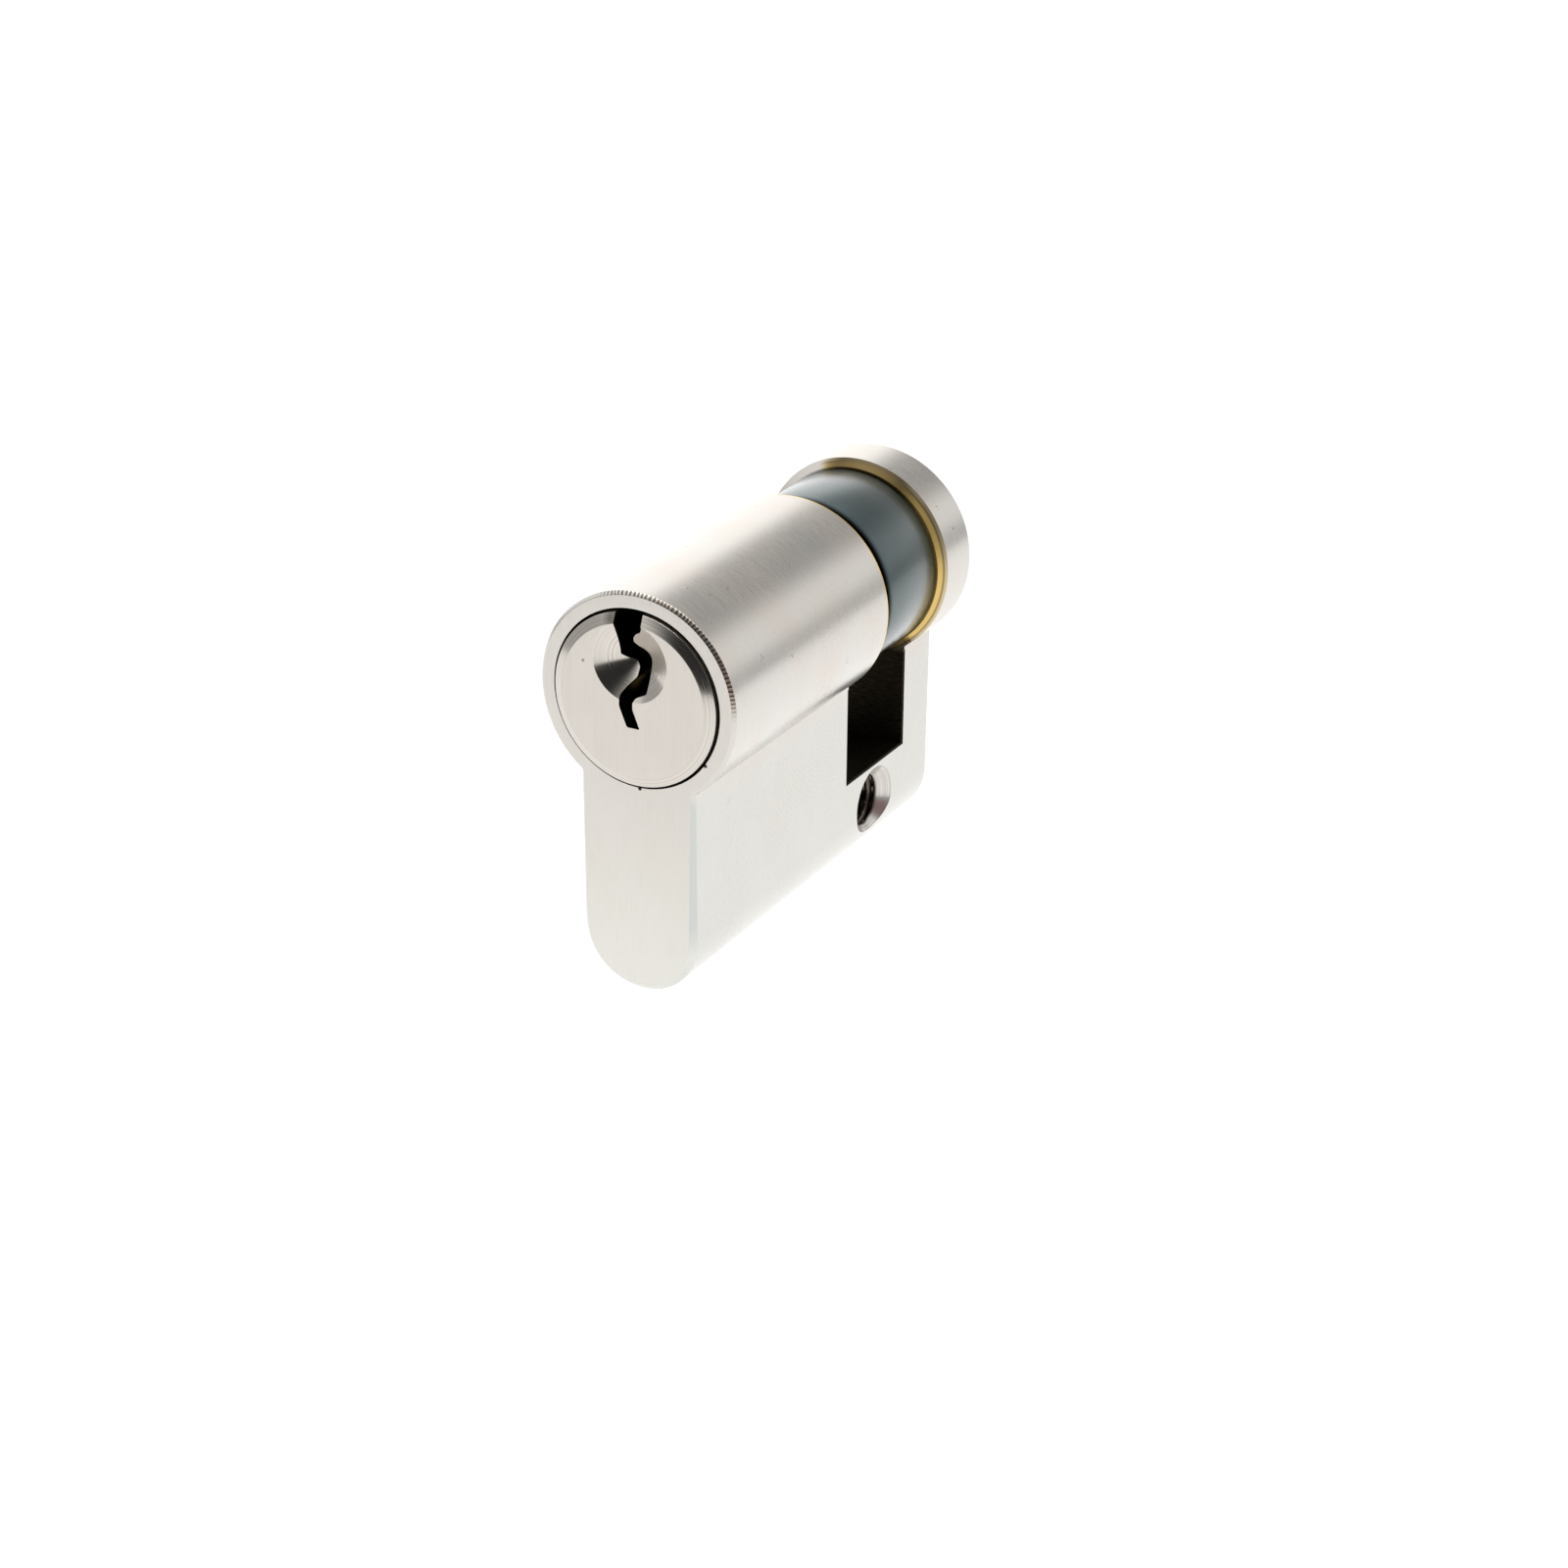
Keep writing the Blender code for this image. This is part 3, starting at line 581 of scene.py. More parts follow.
def nickel_chamfer():
    """Nickel of the front chamfer, with the chatter marks of its cutter, painted shade at the top and upper
    right, and a warm patch at the right.
    """
    f = Finish("nickel_chamfer", 0.24)
    angle = f.turn()
    height = f.axis(f.place(), "Z")
    wander = f.noise(f.place((0.9, 0.9, 0.9)), detail=1.0)
    phase = f.math("MULTIPLY_ADD", angle, tau * BARREL_RADIUS / CHATTER_PITCH,
                   f.math("MULTIPLY", wander, 6.0))
    ticks = f.math("MULTIPLY", f.spread(f.math("SINE", phase), -0.25, 0.5), f.sector(angle, 57, 44, 60))
    # Painted shade over the chamfer's top and upper right, deepest near 66 degrees.
    tone = f.mix(f.math("MULTIPLY", f.sector(angle, 56, 26, 50), 0.35), NICKEL, CHAMFER_SHADE)
    tone = f.mix(f.math("MULTIPLY", f.sector(angle, 66, 8, 24), 0.6), tone, CHAMFER_DEEP_SHADE)
    tone = f.mix(f.math("MULTIPLY", f.sector(angle, 22, 8, 26), 0.45), tone, CHAMFER_WARM)
    # Painted light: the stem's chamfer lighter towards the foot.
    stem = f.mix(f.spread(height, *CHAMFER_LIGHT_FADE), CHAMFER_STEM, CHAMFER_FOOT_LIT)
    tone = f.mix(f.spread(height, STEM_Z, STEM_Z - 1.0), tone, stem)
    tone = f.mix(f.math("MULTIPLY", ticks, 0.85), tone, CHATTER_DARK)
    f.bump(ticks, 0.008)
    return f.look(tone)


def nickel_hole():
    """Nickel of the fixing screw's countersinks, with painted shade on the thread between them."""
    f = Finish("nickel_hole", 0.2)
    turned_lines = f.rings(f.radius((0.0, 0.0, 0.0), (0.0, 1.0, 1.0)), 9.0)
    tone = f.mix(f.spread(turned_lines, 0.35, 0.7), NICKEL, NICKEL_DARK)
    blush = f.spread(f.radius(BLUSH_CENTRE, (0.0, 1.0, 1.0)), 0.95, 0.35)
    tone = f.mix(f.math("MULTIPLY", blush, 0.55), tone, HOLE_BLUSH)
    # Painted shade down the thread between the countersinks.
    depth = f.math("ABSOLUTE", f.axis(f.place(), "X"))
    deep_shade = f.spread(depth, SCREW_THREAD_START + 0.06, SCREW_THREAD_START - 0.1)
    tone = f.mix(f.math("MULTIPLY", deep_shade, 0.9), tone, HOLE_SHADE)
    f.bump(turned_lines, 0.0015)
    return f.look(tone, f.spread(turned_lines, 0.3, 0.7, 0.14, 0.26))


def painted_slot_shade(f, mill, distance):
    """Painted shade inside the stem and deep in the slot, 1 where it is full."""
    low = f.spread(f.axis(f.place(), "Z"), STEM_Z + 1.4, STEM_Z - 0.4)
    inner = f.spread(distance, 7.2, 6.9)
    return f.math("MULTIPLY", f.math("MAXIMUM", low, inner), f.spread(mill, 0.7, 0.3, 0.93, 1.0))


def brass_cut():
    """Bare brass of the cam slot: olive at its outer edge, with painted shade at the top and deep in the
    slot, plated in one place.
    """
    f = Finish("brass_cut", 0.3)
    mill = f.noise(f.place((1.2, 6.0, 6.0)), detail=4.0, roughness=0.6)
    distance = f.radius((0.0, 0.0, AXIS_Z))
    angle = f.turn()
    band = BARREL_RADIUS - OLIVE_BAND
    outer = f.spread(distance, band - 0.02, band + 0.02)
    tone = f.mix(f.math("MULTIPLY", f.spread(mill, 0.35, 0.7), 0.25), BRASS_BRIGHT, BRASS)
    # Painted shade: the brass darkened round the top of the slot.
    tone = f.mix(f.math("MULTIPLY", f.sector(angle, 80, 20, 44), 0.95), tone, BRASS_TOP_SHADE)
    tone = f.mix(f.math("MULTIPLY", outer, 0.85), tone, BRASS_OLIVE)
    # Deeper painted shade on the olive band at the top.
    deep_shade = f.math("MULTIPLY", outer, f.sector(angle, 80, 18, 36))
    tone = f.mix(f.math("MULTIPLY", deep_shade, 0.92), tone, OLIVE_TOP_SHADE)
    rear_wall = f.math("GREATER_THAN", f.axis(f.place(), "Y"), 0.0)
    plated = f.math("MULTIPLY", f.sector(angle, 134, 18, 27), rear_wall)
    tone = f.mix(plated, tone, PLATED_PATCH)
    line = f.spread(f.math("ABSOLUTE", f.math("SUBTRACT", distance, band)), 0.1, 0.03)
    line = f.math("MULTIPLY", f.math("SUBTRACT", 1.0, plated), line)
    tone = f.mix(f.math("MULTIPLY", line, 0.6), tone, BAND_LINE)
    # Painted shade: the slot's brass darkened inside the stem and deep in the slot.
    slot_shade = painted_slot_shade(f, mill, distance)
    tone = f.mix(slot_shade, tone, SLOT_SHADE_DARK)
    dull = f.math("SUBTRACT", 1.0, f.math("MAXIMUM", outer, plated))
    dull = f.math("MULTIPLY", dull, f.math("SUBTRACT", 1.0, slot_shade))
    f.put(f.shader.inputs["Metallic"], f.math("MULTIPLY_ADD", dull, -0.2, 1.0))
    f.bump(mill, 0.002)
    return f.look(tone, f.math("MULTIPLY_ADD", slot_shade, 0.16, 0.36))


def brass_bore():
    """Turned brass inside the bore and the pin chambers."""
    f = Finish("brass_bore", 0.3)
    lines = f.noise(f.place((0.4, 9.0, 0.4)), detail=3.0)
    tone = f.mix(f.spread(lines, 0.35, 0.7), BRASS, BRASS_DEEP)
    f.bump(lines, 0.004)
    return f.look(tone, f.spread(lines, 0.3, 0.7, 0.24, 0.36))


def plug_face():
    """The plug's face: fine upright brushing and one small dent."""
    f = Finish("plug_face", 0.33)
    grain = f.noise(f.place((8.0, 1.0, 0.3)), detail=4.0, roughness=0.7)
    cloud = f.noise(f.place((0.22, 0.2, 0.15), (3.0, 0.0, 5.0)), detail=3.0)
    tone = f.mix(f.spread(cloud, 0.38, 0.62), PLUG_NICKEL, NICKEL_WARM)
    tone = f.mix(f.math("MULTIPLY", f.spread(grain, 0.5, 0.8), 0.16), tone, NICKEL_DARK)
    dent = f.spread(f.radius(FACE_DENT), 0.16, 0.07)
    tone = f.mix(f.math("MULTIPLY", dent, 0.6), tone, SPECK)
    f.bump(dent, -0.03)
    f.bump(grain, 0.0013)
    return f.look(tone, f.spread(grain, 0.3, 0.7, 0.28, 0.40))


def plug_turned():
    """The plug's turned nickel: its bevel, with one dark spot, and its body."""
    f = Finish("plug_turned", 0.16)
    lines = f.rings(f.radius((0.0, 0.0, AXIS_Z)), 11.0)
    tone = f.mix(f.spread(lines, 0.4, 0.75), PLUG_NICKEL, NICKEL_DARK)
    # A dark spot on the bevel beside the keyway's top.
    dull = f.spread(f.radius(BEVEL_DARK_SPOT), 1.0, 0.35)
    tone = f.mix(f.math("MULTIPLY", dull, 0.8), tone, BEVEL_DARK)
    f.bump(lines, 0.0022)
    return f.look(tone, f.spread(lines, 0.3, 0.7, 0.12, 0.22))


def plug_cone():
    """The key entry's cone, with the fine grooves of its countersink."""
    f = Finish("plug_cone", 0.16)
    x, z = ENTRY_CENTRE
    lines = f.rings(f.radius((x, 0.0, AXIS_Z + z)), 7.0)
    tone = f.mix(f.spread(lines, 0.4, 0.75), PLUG_NICKEL, NICKEL_DARK)
    f.bump(lines, 0.0035)
    return f.look(tone, f.spread(lines, 0.3, 0.7, 0.12, 0.22))


def gap_shade():
    """Painted shade in the running gap round the plug's head."""
    f = Finish("gap_shade", 0.6, 0.0)
    fine = f.noise(f.place((3.0, 3.0, 3.0)), detail=3.0)
    f.bump(fine, 0.01)
    return f.look(f.mix(f.spread(fine, 0.3, 0.7), GAP_SHADE_BLACK, GAP_SHADE_BROWN))


def keyway_brass():
    """Broached brass inside the keyway, in painted shade but for one painted glint."""
    f = Finish("keyway_brass", 0.34)
    lines = f.noise(f.place((7.0, 0.3, 7.0)), detail=3.0)
    # Painted shade over the keyway's walls.
    tone = f.mix(f.spread(lines, 0.3, 0.7), KEYWAY_SHADE_BROWN, KEYWAY_SHADE_DARK)
    # A painted glint: one patch of bright, less metallic brass.
    glint = f.spread(f.radius(KEYWAY_GLINT_PATCH, (1.0, 0.7, 1.0)), 1.3, 0.5)
    tone = f.mix(glint, tone, f.mix(f.spread(lines, 0.3, 0.7), BRASS_BRIGHT, BRASS))
    f.put(f.shader.inputs["Metallic"], f.math("MULTIPLY_ADD", glint, -0.7, 1.0))
    f.bump(lines, 0.004)
    return f.look(tone, f.spread(lines, 0.3, 0.7, 0.26, 0.40))


def cam_satin():
    """The cam's blue-grey satin steel, with painted shade along the edges of its ring."""
    f = Finish("cam_satin", 0.34)
    fine = f.noise(f.place((3.0, 9.0, 3.0)), detail=5.0, roughness=0.7)
    cloud = f.noise(f.place((0.25, 0.2, 0.25)), detail=3.0)
    tone = f.mix(f.spread(cloud, 0.35, 0.65), CAM_STEEL, CAM_STEEL_DARK)
    tone = f.mix(f.math("MULTIPLY", f.spread(fine, 0.55, 0.8), 0.5), tone, CAM_GRAIN)
    along = f.axis(f.place(), "Y")
    distance = f.radius((0.0, 0.0, AXIS_Z))
    ring = f.spread(distance, CAM_RADIUS + 0.5, CAM_RADIUS + 0.1)
    # Painted shade along the ring's front edge, and along its rear edge at the right.
    front = f.spread(along, CAM_LOW[1] + 0.45, CAM_LOW[1] + 0.15)
    rear = f.spread(along, CAM_HIGH[1] - 0.14, CAM_HIGH[1] - 0.04)
    rear = f.math("MULTIPLY", rear, f.sector(f.turn(), 20, 14, 34))
    edge_shade = f.math("MULTIPLY", f.math("MAXIMUM", front, rear), ring)
    tone = f.mix(edge_shade, tone, CAM_EDGE_SHADE)
    coat = f.math("MULTIPLY", f.spread(along, CAM_LOW[1] + 0.2, CAM_LOW[1] + 0.8),
                  f.spread(along, CAM_HIGH[1] - 0.3, CAM_HIGH[1] - 1.5))
    coat = f.math("MAXIMUM", coat, f.math("SUBTRACT", 1.0, ring))
    f.bump(fine, 0.0034)
    f.put(f.shader.inputs["Coat Weight"], coat)
    f.put(f.shader.inputs["Coat Normal"], f.shader.inputs["Normal"].links[0].from_socket)
    f.shader.inputs["Coat Roughness"].default_value = 0.22
    return f.look(tone, f.spread(fine, 0.3, 0.7, 0.28, 0.38))


def plain_metal(name, first, second, roughness, relief):
    """A plain metal with a fine cloudy surface, for the pieces inside."""
    f = Finish(name, roughness)
    fine = f.noise(f.place((3.5, 3.5, 3.5)), detail=4.0, roughness=0.65)
    tone = f.mix(f.spread(fine, 0.35, 0.7), first, second)
    f.bump(fine, relief)
    return f.look(tone, f.spread(fine, 0.3, 0.7, roughness - 0.05, roughness + 0.08))


SKIN = nickel_skin()
FACE = nickel_face()
CHAMFER = nickel_chamfer()
HOLE = nickel_hole()
CUT_BRASS = brass_cut()
BORE_BRASS = brass_bore()
PLUG_FACE = plug_face()
PLUG_TURNED = plug_turned()
PLUG_CONE = plug_cone()
KEYWAY_BRASS = keyway_brass()
CAM_SATIN = cam_satin()
GAP_SHADE = gap_shade()
PIN_BRASS = plain_metal("pin_brass", BRASS, BRASS_DEEP, 0.26, 0.002)
SPRING_WIRE = plain_metal("spring_wire", SPRING_STEEL, SPRING_STEEL_DARK, 0.24, 0.001)
SINTERED_STEEL = plain_metal("sintered_surface", SINTERED, SINTERED_DARK, 0.5, 0.012)


# ---- housing

def euro_half(inset):
    """The left half of the euro outline, from the barrel's top to the foot's lowest point."""
    reach = BARREL_RADIUS + JUNCTION_FILLET
    fillet_x = STEM_HALF + JUNCTION_FILLET
    fillet_z = -sqrt(reach ** 2 - fillet_x ** 2)
    touch = atan2(-fillet_z, fillet_x)
    barrel = arc(BARREL_RADIUS - inset, pi / 2, pi + touch, BARREL_STEPS)
    fillet = arc(JUNCTION_FILLET + inset, touch, 0.0, FILLET_STEPS, (-fillet_x, fillet_z))
    foot_z = HOUSING_LOW[2] + STEM_HALF - AXIS_Z
    foot = arc(STEM_HALF - inset, pi, 3 * pi / 2, FOOT_STEPS, (0.0, foot_z))
    return barrel + fillet + foot


def euro_outline(inset):
    """The whole euro outline, moved inwards by inset."""
    left = euro_half(inset)
    right = [(-x, z) for x, z in left[-2:0:-1]]
    return left + right


def edge_steps(size, softness):
    """A chamfer with soft edges, as (depth, inset) steps from the end face."""
    line = [(0.0, size + 4 * softness), (0.0, size), (size, 0.0), (size + 4 * softness, 0.0)]
    return rounded(line, softness)


def end_rings():
    """The housing's rings from face to face. The stem's chamfers are broader than the barrel's."""
    front = []
    back = []
    steps = zip(edge_steps(EDGE_CHAMFER, EDGE_SOFTNESS)[1:], edge_steps(STEM_CHAMFER, EDGE_SOFTNESS)[1:])
    for (depth, inset), (stem_depth, stem_inset) in steps:
        ring = []
        for (x, z), (stem_x, stem_z) in zip(euro_outline(inset), euro_outline(stem_inset)):
            t = min(max((STEM_TOP - z) / STEM_CHAMFER_RUN, 0.0), 1.0)
            ring.append((x + (stem_x - x) * t, z + (stem_z - z) * t, depth + (stem_depth - depth) * t))
        front.append([about_barrel(x, z, FRONT_Y + y) for x, z, y in ring])
        back.append([about_barrel(x, z, BACK_Y - y) for x, z, y in ring])
    return front + back[::-1]


def slot_edge_ring(name, side, size):
    """The wedge that breaks one edge of the cam slot round the barrel."""
    r = BARREL_RADIUS
    wedge = [(r - size - WEDGE_REACH, side * (SLOT_HALF - WEDGE_REACH)),
             (r + WEDGE_REACH, side * (SLOT_HALF + size + WEDGE_REACH)),
             (r + WEDGE_REACH, side * (SLOT_HALF - WEDGE_REACH))]
    return swept(name, wedge, *SLOT_EDGE_SPAN, SLOT_EDGE_STEPS, about_barrel, CUT_BRASS)


def slot_frame(name, side, size):
    """The flared frame that breaks the cam slot's edges on one side of the stem."""
    top = AXIS_Z - sqrt(BARREL_RADIUS ** 2 - STEM_HALF ** 2) - STEM_FRAME_DROP
    rings = []
    for grow in (-WEDGE_REACH, size + WEDGE_REACH):
        x = side * (STEM_HALF - size + grow)
        y = SLOT_HALF + grow
        z = SLOT_BOTTOM_Z - grow
        rings.append([(x, -y, z), (x, y, z), (x, y, top), (x, -y, top)])
    return skin(name, rings, CUT_BRASS)


def thread_radius(x, phase):
    """The screw hole's radius at a place along it and a phase of the thread's turn."""
    flank = min(max(SCREW_FLANK_SLOPE * abs(phase - 0.5) - SCREW_CREST_FLAT, 0.0), 1.0)
    cut = min(max((SCREW_THREAD_START - abs(x)) / SCREW_RUN_OUT, 0.0), 1.0)
    thread = SCREW_MINOR + SCREW_THREAD_DEPTH * flank * cut
    return max(thread, SCREW_MOUTH + abs(x) - STEM_HALF)


def threaded_hole():
    """The fixing screw's threaded hole through the stem, with its two countersinks."""
    turns = round(2 * (STEM_HALF + REACH) / SCREW_PITCH)
    rings = []
    for n in range(turns * THREAD_STEPS + 1):
        x = -turns * SCREW_PITCH / 2 + n * SCREW_PITCH / THREAD_STEPS
        ring = []
        for m in range(SMALL):
            radius = thread_radius(x, (n / THREAD_STEPS + m / SMALL) % 1.0)
            ring.append(Vector((x, radius * cos(tau * m / SMALL), radius * sin(tau * m / SMALL))))
        rings.append(ring)
    return skin("threaded_hole", rings, HOLE)


def pin_y(number):
    """The place of a pin chamber along the barrel."""
    low, high = box_mm(f"driver_pin_{number}")
    return (low[1] + high[1]) / 2


def pin_chamber(number, bottom, top, finish):
    """The bore of one pin chamber between two heights."""
    profile = [(CHAMBER_RADIUS, bottom), (CHAMBER_RADIUS, top)]
    return turned(f"chamber_{number}", profile, SMALL, upright(pin_y(number)), finish)


def stepped_bore():
    """The plug's bore, with painted shade where the plug's head runs."""
    profile = [(BORE_RADIUS, BORE_END_Y), (BORE_RADIUS, HEAD_BORE_END_Y),
               (HEAD_BORE_RADIUS, HEAD_BORE_END_Y), (HEAD_BORE_RADIUS, FRONT_Y + BORE_MOUTH_BREAK),
               (HEAD_BORE_RADIUS + 2 * BORE_MOUTH_BREAK + REACH, FRONT_Y - REACH)]
    bore = turned("bore", rounded(profile, BORE_ROUNDING), FINE, about_barrel, BORE_BRASS)
    # Painted shade on the bore where the plug's head runs.
    repaint(bore, GAP_SHADE, lambda centre, normal: centre.y < HEAD_BORE_END_Y)
    return bore


def build_housing():
    """The nickel-plated body with its bore, cam slot, pin chambers and threaded hole."""
    housing = skin("fine_housing", end_rings(), SKIN)
    repaint(housing, FACE, lambda centre, normal: abs(normal.y) > 0.99)
    repaint(housing, CHAMFER, lambda centre, normal: -0.99 < normal.y < -0.12)
    slot_low = (-BARREL_RADIUS - REACH, -SLOT_HALF, SLOT_BOTTOM_Z)
    slot_high = (BARREL_RADIUS + REACH, SLOT_HALF, HOUSING_HIGH[2] + REACH)
    cutters = [stepped_bore(), box_piece("slot", slot_low, slot_high, CUT_BRASS),
               slot_edge_ring("front_slot_edge", -1, FRONT_SLOT_EDGE),
               slot_edge_ring("rear_slot_edge", 1, REAR_SLOT_EDGE),
               slot_frame("left_slot_edge", -1, STEM_SLOT_EDGE),
               slot_frame("right_slot_edge", 1, STEM_SLOT_EDGE)]
    for number in PIN_NUMBERS:
        cutters.append(pin_chamber(number, HOUSING_LOW[2] - REACH, AXIS_Z - BORE_RADIUS + REACH,
                                   BORE_BRASS))
    carve(housing, cutters + [threaded_hole()])
    return finish_piece(housing, "housing", "nickel_plate", "housing")


# ---- plug, clip, cam and coupling

def entry_place(x, z, y):
    """Places a turned shape on the key entry's axis."""
    return Vector((ENTRY_CENTRE[0] + x, y, AXIS_Z + ENTRY_CENTRE[1] + z))


def plug_profile():
    """The plug's (radius, place) line from its face to its tail, with the clip's groove."""
    tail_end = PLUG_HIGH[1]
    groove_start = CLIP_LOW[1] - CLIP_GAP
    groove_end = CLIP_HIGH[1] + CLIP_GAP
    groove_radius = CLIP_INNER_RADIUS - CLIP_GAP
    return [(PLUG_FACE_RADIUS - PLUG_FACE_MARGIN, PLUG_FACE_Y), (PLUG_FACE_RADIUS, PLUG_FACE_Y),
            (PLUG_HEAD_RADIUS, PLUG_RIM_Y), (PLUG_HEAD_RADIUS, HEAD_END_Y), (PLUG_RADIUS, HEAD_END_Y),
            (PLUG_RADIUS, groove_start), (groove_radius, groove_start),
            (groove_radius, groove_end), (PLUG_RADIUS, groove_end),
            (PLUG_RADIUS, tail_end - TAIL_CHAMFER), (PLUG_RADIUS - TAIL_CHAMFER, tail_end)]


def plug_cutters():
    """The shapes that cut the key entry, the keyway, the pin chambers and the tail slot."""
    past_tail = PLUG_HIGH[1] + REACH
    wide = ENTRY_RADIUS + REACH / ENTRY_SLOPE
    cone = [(wide, PLUG_FACE_Y - REACH), (ENTRY_TIP, PLUG_FACE_Y + (ENTRY_RADIUS - ENTRY_TIP) * ENTRY_SLOPE)]
    cutters = [turned("key_entry", cone, FINE, entry_place, PLUG_CONE)]
    outline = rounded(KEYWAY_LEFT + KEYWAY_RIGHT, KEYWAY_ROUNDING, closed=True)
    cutters.append(drawn("keyway", outline, PLUG_FACE_Y - REACH, past_tail, KEYWAY_BRASS))
    for number in PIN_NUMBERS:
        cutters.append(pin_chamber(number, AXIS_Z - PLUG_RADIUS - REACH, AXIS_Z + PLUG_CHAMBER_TOP,
                                   KEYWAY_BRASS))
    cutters.append(box_piece("tail_slot", (-PLUG_RADIUS - REACH, TAIL_SLOT_Y, AXIS_Z - TAIL_SLOT_HALF),
                             (PLUG_RADIUS + REACH, past_tail, AXIS_Z + TAIL_SLOT_HALF), BORE_BRASS))
    seat = [(BOSS_RADIUS + DRIVE_GAP, TAIL_SLOT_Y), (BOSS_RADIUS + DRIVE_GAP, past_tail)]
    return cutters + [turned("boss_seat", seat, SMALL, about_barrel, BORE_BRASS)]


def build_plug():
    """The plug with its bevelled face, key entry, keyway, pin chambers and tail slot."""
    plug = turned("fine_plug", rounded(plug_profile(), PLUG_ROUNDING), FINE, about_barrel, PLUG_TURNED)
    repaint(plug, PLUG_FACE, lambda centre, normal: normal.y < -0.99 and centre.y < FRONT_Y)
    # Painted shade on the plug's head inside the running gap.
    repaint(plug, GAP_SHADE, lambda centre, normal: PLUG_RIM_Y < centre.y < HEAD_END_Y)
    carve(plug, plug_cutters())
    return finish_piece(plug, "plug", "plug_nickel", "plug")


def build_clip():
    """The snap ring on the plug's tail, its mouth at the bottom."""
    corners = [(CLIP_INNER_RADIUS, CLIP_LOW[1]), (CLIP_RADIUS, CLIP_LOW[1]),
               (CLIP_RADIUS, CLIP_HIGH[1]), (CLIP_INNER_RADIUS, CLIP_HIGH[1])]
    start = -pi / 2 + CLIP_MOUTH / 2
    clip = swept("fine_retaining_clip", rounded(corners, CLIP_ROUNDING, closed=True), start,
                 start + tau - CLIP_MOUTH, MEDIUM, about_barrel, SPRING_WIRE)
    return finish_piece(clip, "plug", "spring_steel", "retaining_clip")


def on_circle(radius, angle):
    """A point at an angle about the barrel's axis."""
    return (radius * cos(angle), radius * sin(angle))


def cam_outline():
    """The cam's ring and its tapered lever, with filleted roots and rounded tip corners."""
    root = asin(LEVER_ROOT_HALF / CAM_RADIUS)
    tip = asin(LEVER_TIP_HALF / LEVER_RADIUS)
    clear_root = root + LEVER_FILLET / CAM_RADIUS
    clear_tip = tip - LEVER_FILLET / LEVER_RADIUS
    outline = arc(LEVER_RADIUS, LEVER_ANGLE - clear_tip, LEVER_ANGLE + clear_tip, TIP_STEPS)
    upper = [on_circle(LEVER_RADIUS, LEVER_ANGLE + clear_tip), on_circle(LEVER_RADIUS, LEVER_ANGLE + tip),
             on_circle(CAM_RADIUS, LEVER_ANGLE + root), on_circle(CAM_RADIUS, LEVER_ANGLE + clear_root)]
    outline += rounded(upper, LEVER_FILLET, steps=LEVER_FILLET_STEPS)[1:]
    outline += arc(CAM_RADIUS, LEVER_ANGLE + clear_root, LEVER_ANGLE + tau - clear_root, RING_STEPS)[1:]
    lower = [on_circle(CAM_RADIUS, LEVER_ANGLE - clear_root), on_circle(CAM_RADIUS, LEVER_ANGLE - root),
             on_circle(LEVER_RADIUS, LEVER_ANGLE - tip), on_circle(LEVER_RADIUS, LEVER_ANGLE - clear_tip)]
    return outline + rounded(lower, LEVER_FILLET, steps=LEVER_FILLET_STEPS)[1:-1]


def build_cam():
    """The cam, hollow for the plug's tail in front and for the rear bearing behind."""
    cam = drawn("fine_cam", cam_outline(), CAM_LOW[1], CAM_HIGH[1], CAM_SATIN)
    soften(cam, CAM_EDGE_SOFTNESS)
    front_radius, front_depth = CAM_FRONT_RECESS
    rear_radius, rear_depth = CAM_REAR_RECESS
    web_front = CAM_LOW[1] + front_depth
    web_back = CAM_HIGH[1] - rear_depth
    front = [(front_radius, CAM_LOW[1] - REACH), (front_radius, web_front)]
    rear = [(rear_radius, web_back), (rear_radius, CAM_HIGH[1] + REACH)]
    boss_radius = BOSS_RADIUS + DRIVE_GAP
    boss = [(boss_radius, web_front - BOSS_OVERLAP), (boss_radius, web_back + BOSS_OVERLAP)]
    bar = COUPLING_BAR_RADIUS + DRIVE_SLOT_ROOM
    slot = box_piece("drive_slot", (-bar, web_front - DRIVE_SLOT_OVERLAP, AXIS_Z - TAIL_SLOT_HALF),
                     (bar, web_back + DRIVE_SLOT_OVERLAP, AXIS_Z + TAIL_SLOT_HALF), CAM_SATIN)
    carve(cam, [turned("cam_front", front, MEDIUM, about_barrel, CAM_SATIN),
                turned("cam_rear", rear, MEDIUM, about_barrel, CAM_SATIN),
                turned("cam_boss", boss, SMALL, about_barrel, CAM_SATIN), slot])
    return finish_piece(cam, "cam", "cam_steel", "cam")


def coupling_outline():
    """The drive bar with its round ends and its round boss."""
    end = asin(COUPLING_TIP_HALF / COUPLING_BAR_RADIUS)
    boss = asin(COUPLING_HALF / BOSS_RADIUS)
    right = arc(COUPLING_BAR_RADIUS, -end, end, BAR_END_STEPS)
    top = arc(BOSS_RADIUS, boss, pi - boss, BOSS_STEPS)
    return right + top + [(-x, -z) for x, z in right] + [(-x, -z) for x, z in top]


def build_coupling():
    """The sprung bar that takes the plug's turn to the cam."""
    coupling = drawn("fine_coupling", coupling_outline(), COUPLING_LOW[1], COUPLING_HIGH[1], SINTERED_STEEL)
    soften(coupling, COUPLING_SOFTNESS, 2)
    radius, depth = SPRING_POCKET
    pocket = [(radius, COUPLING_HIGH[1] - depth), (radius, COUPLING_HIGH[1] + REACH)]
    carve(coupling, [turned("spring_pocket", pocket, SMALL, about_barrel, SINTERED_STEEL)])
    return finish_piece(coupling, "coupling", "sintered_steel", "coupling")


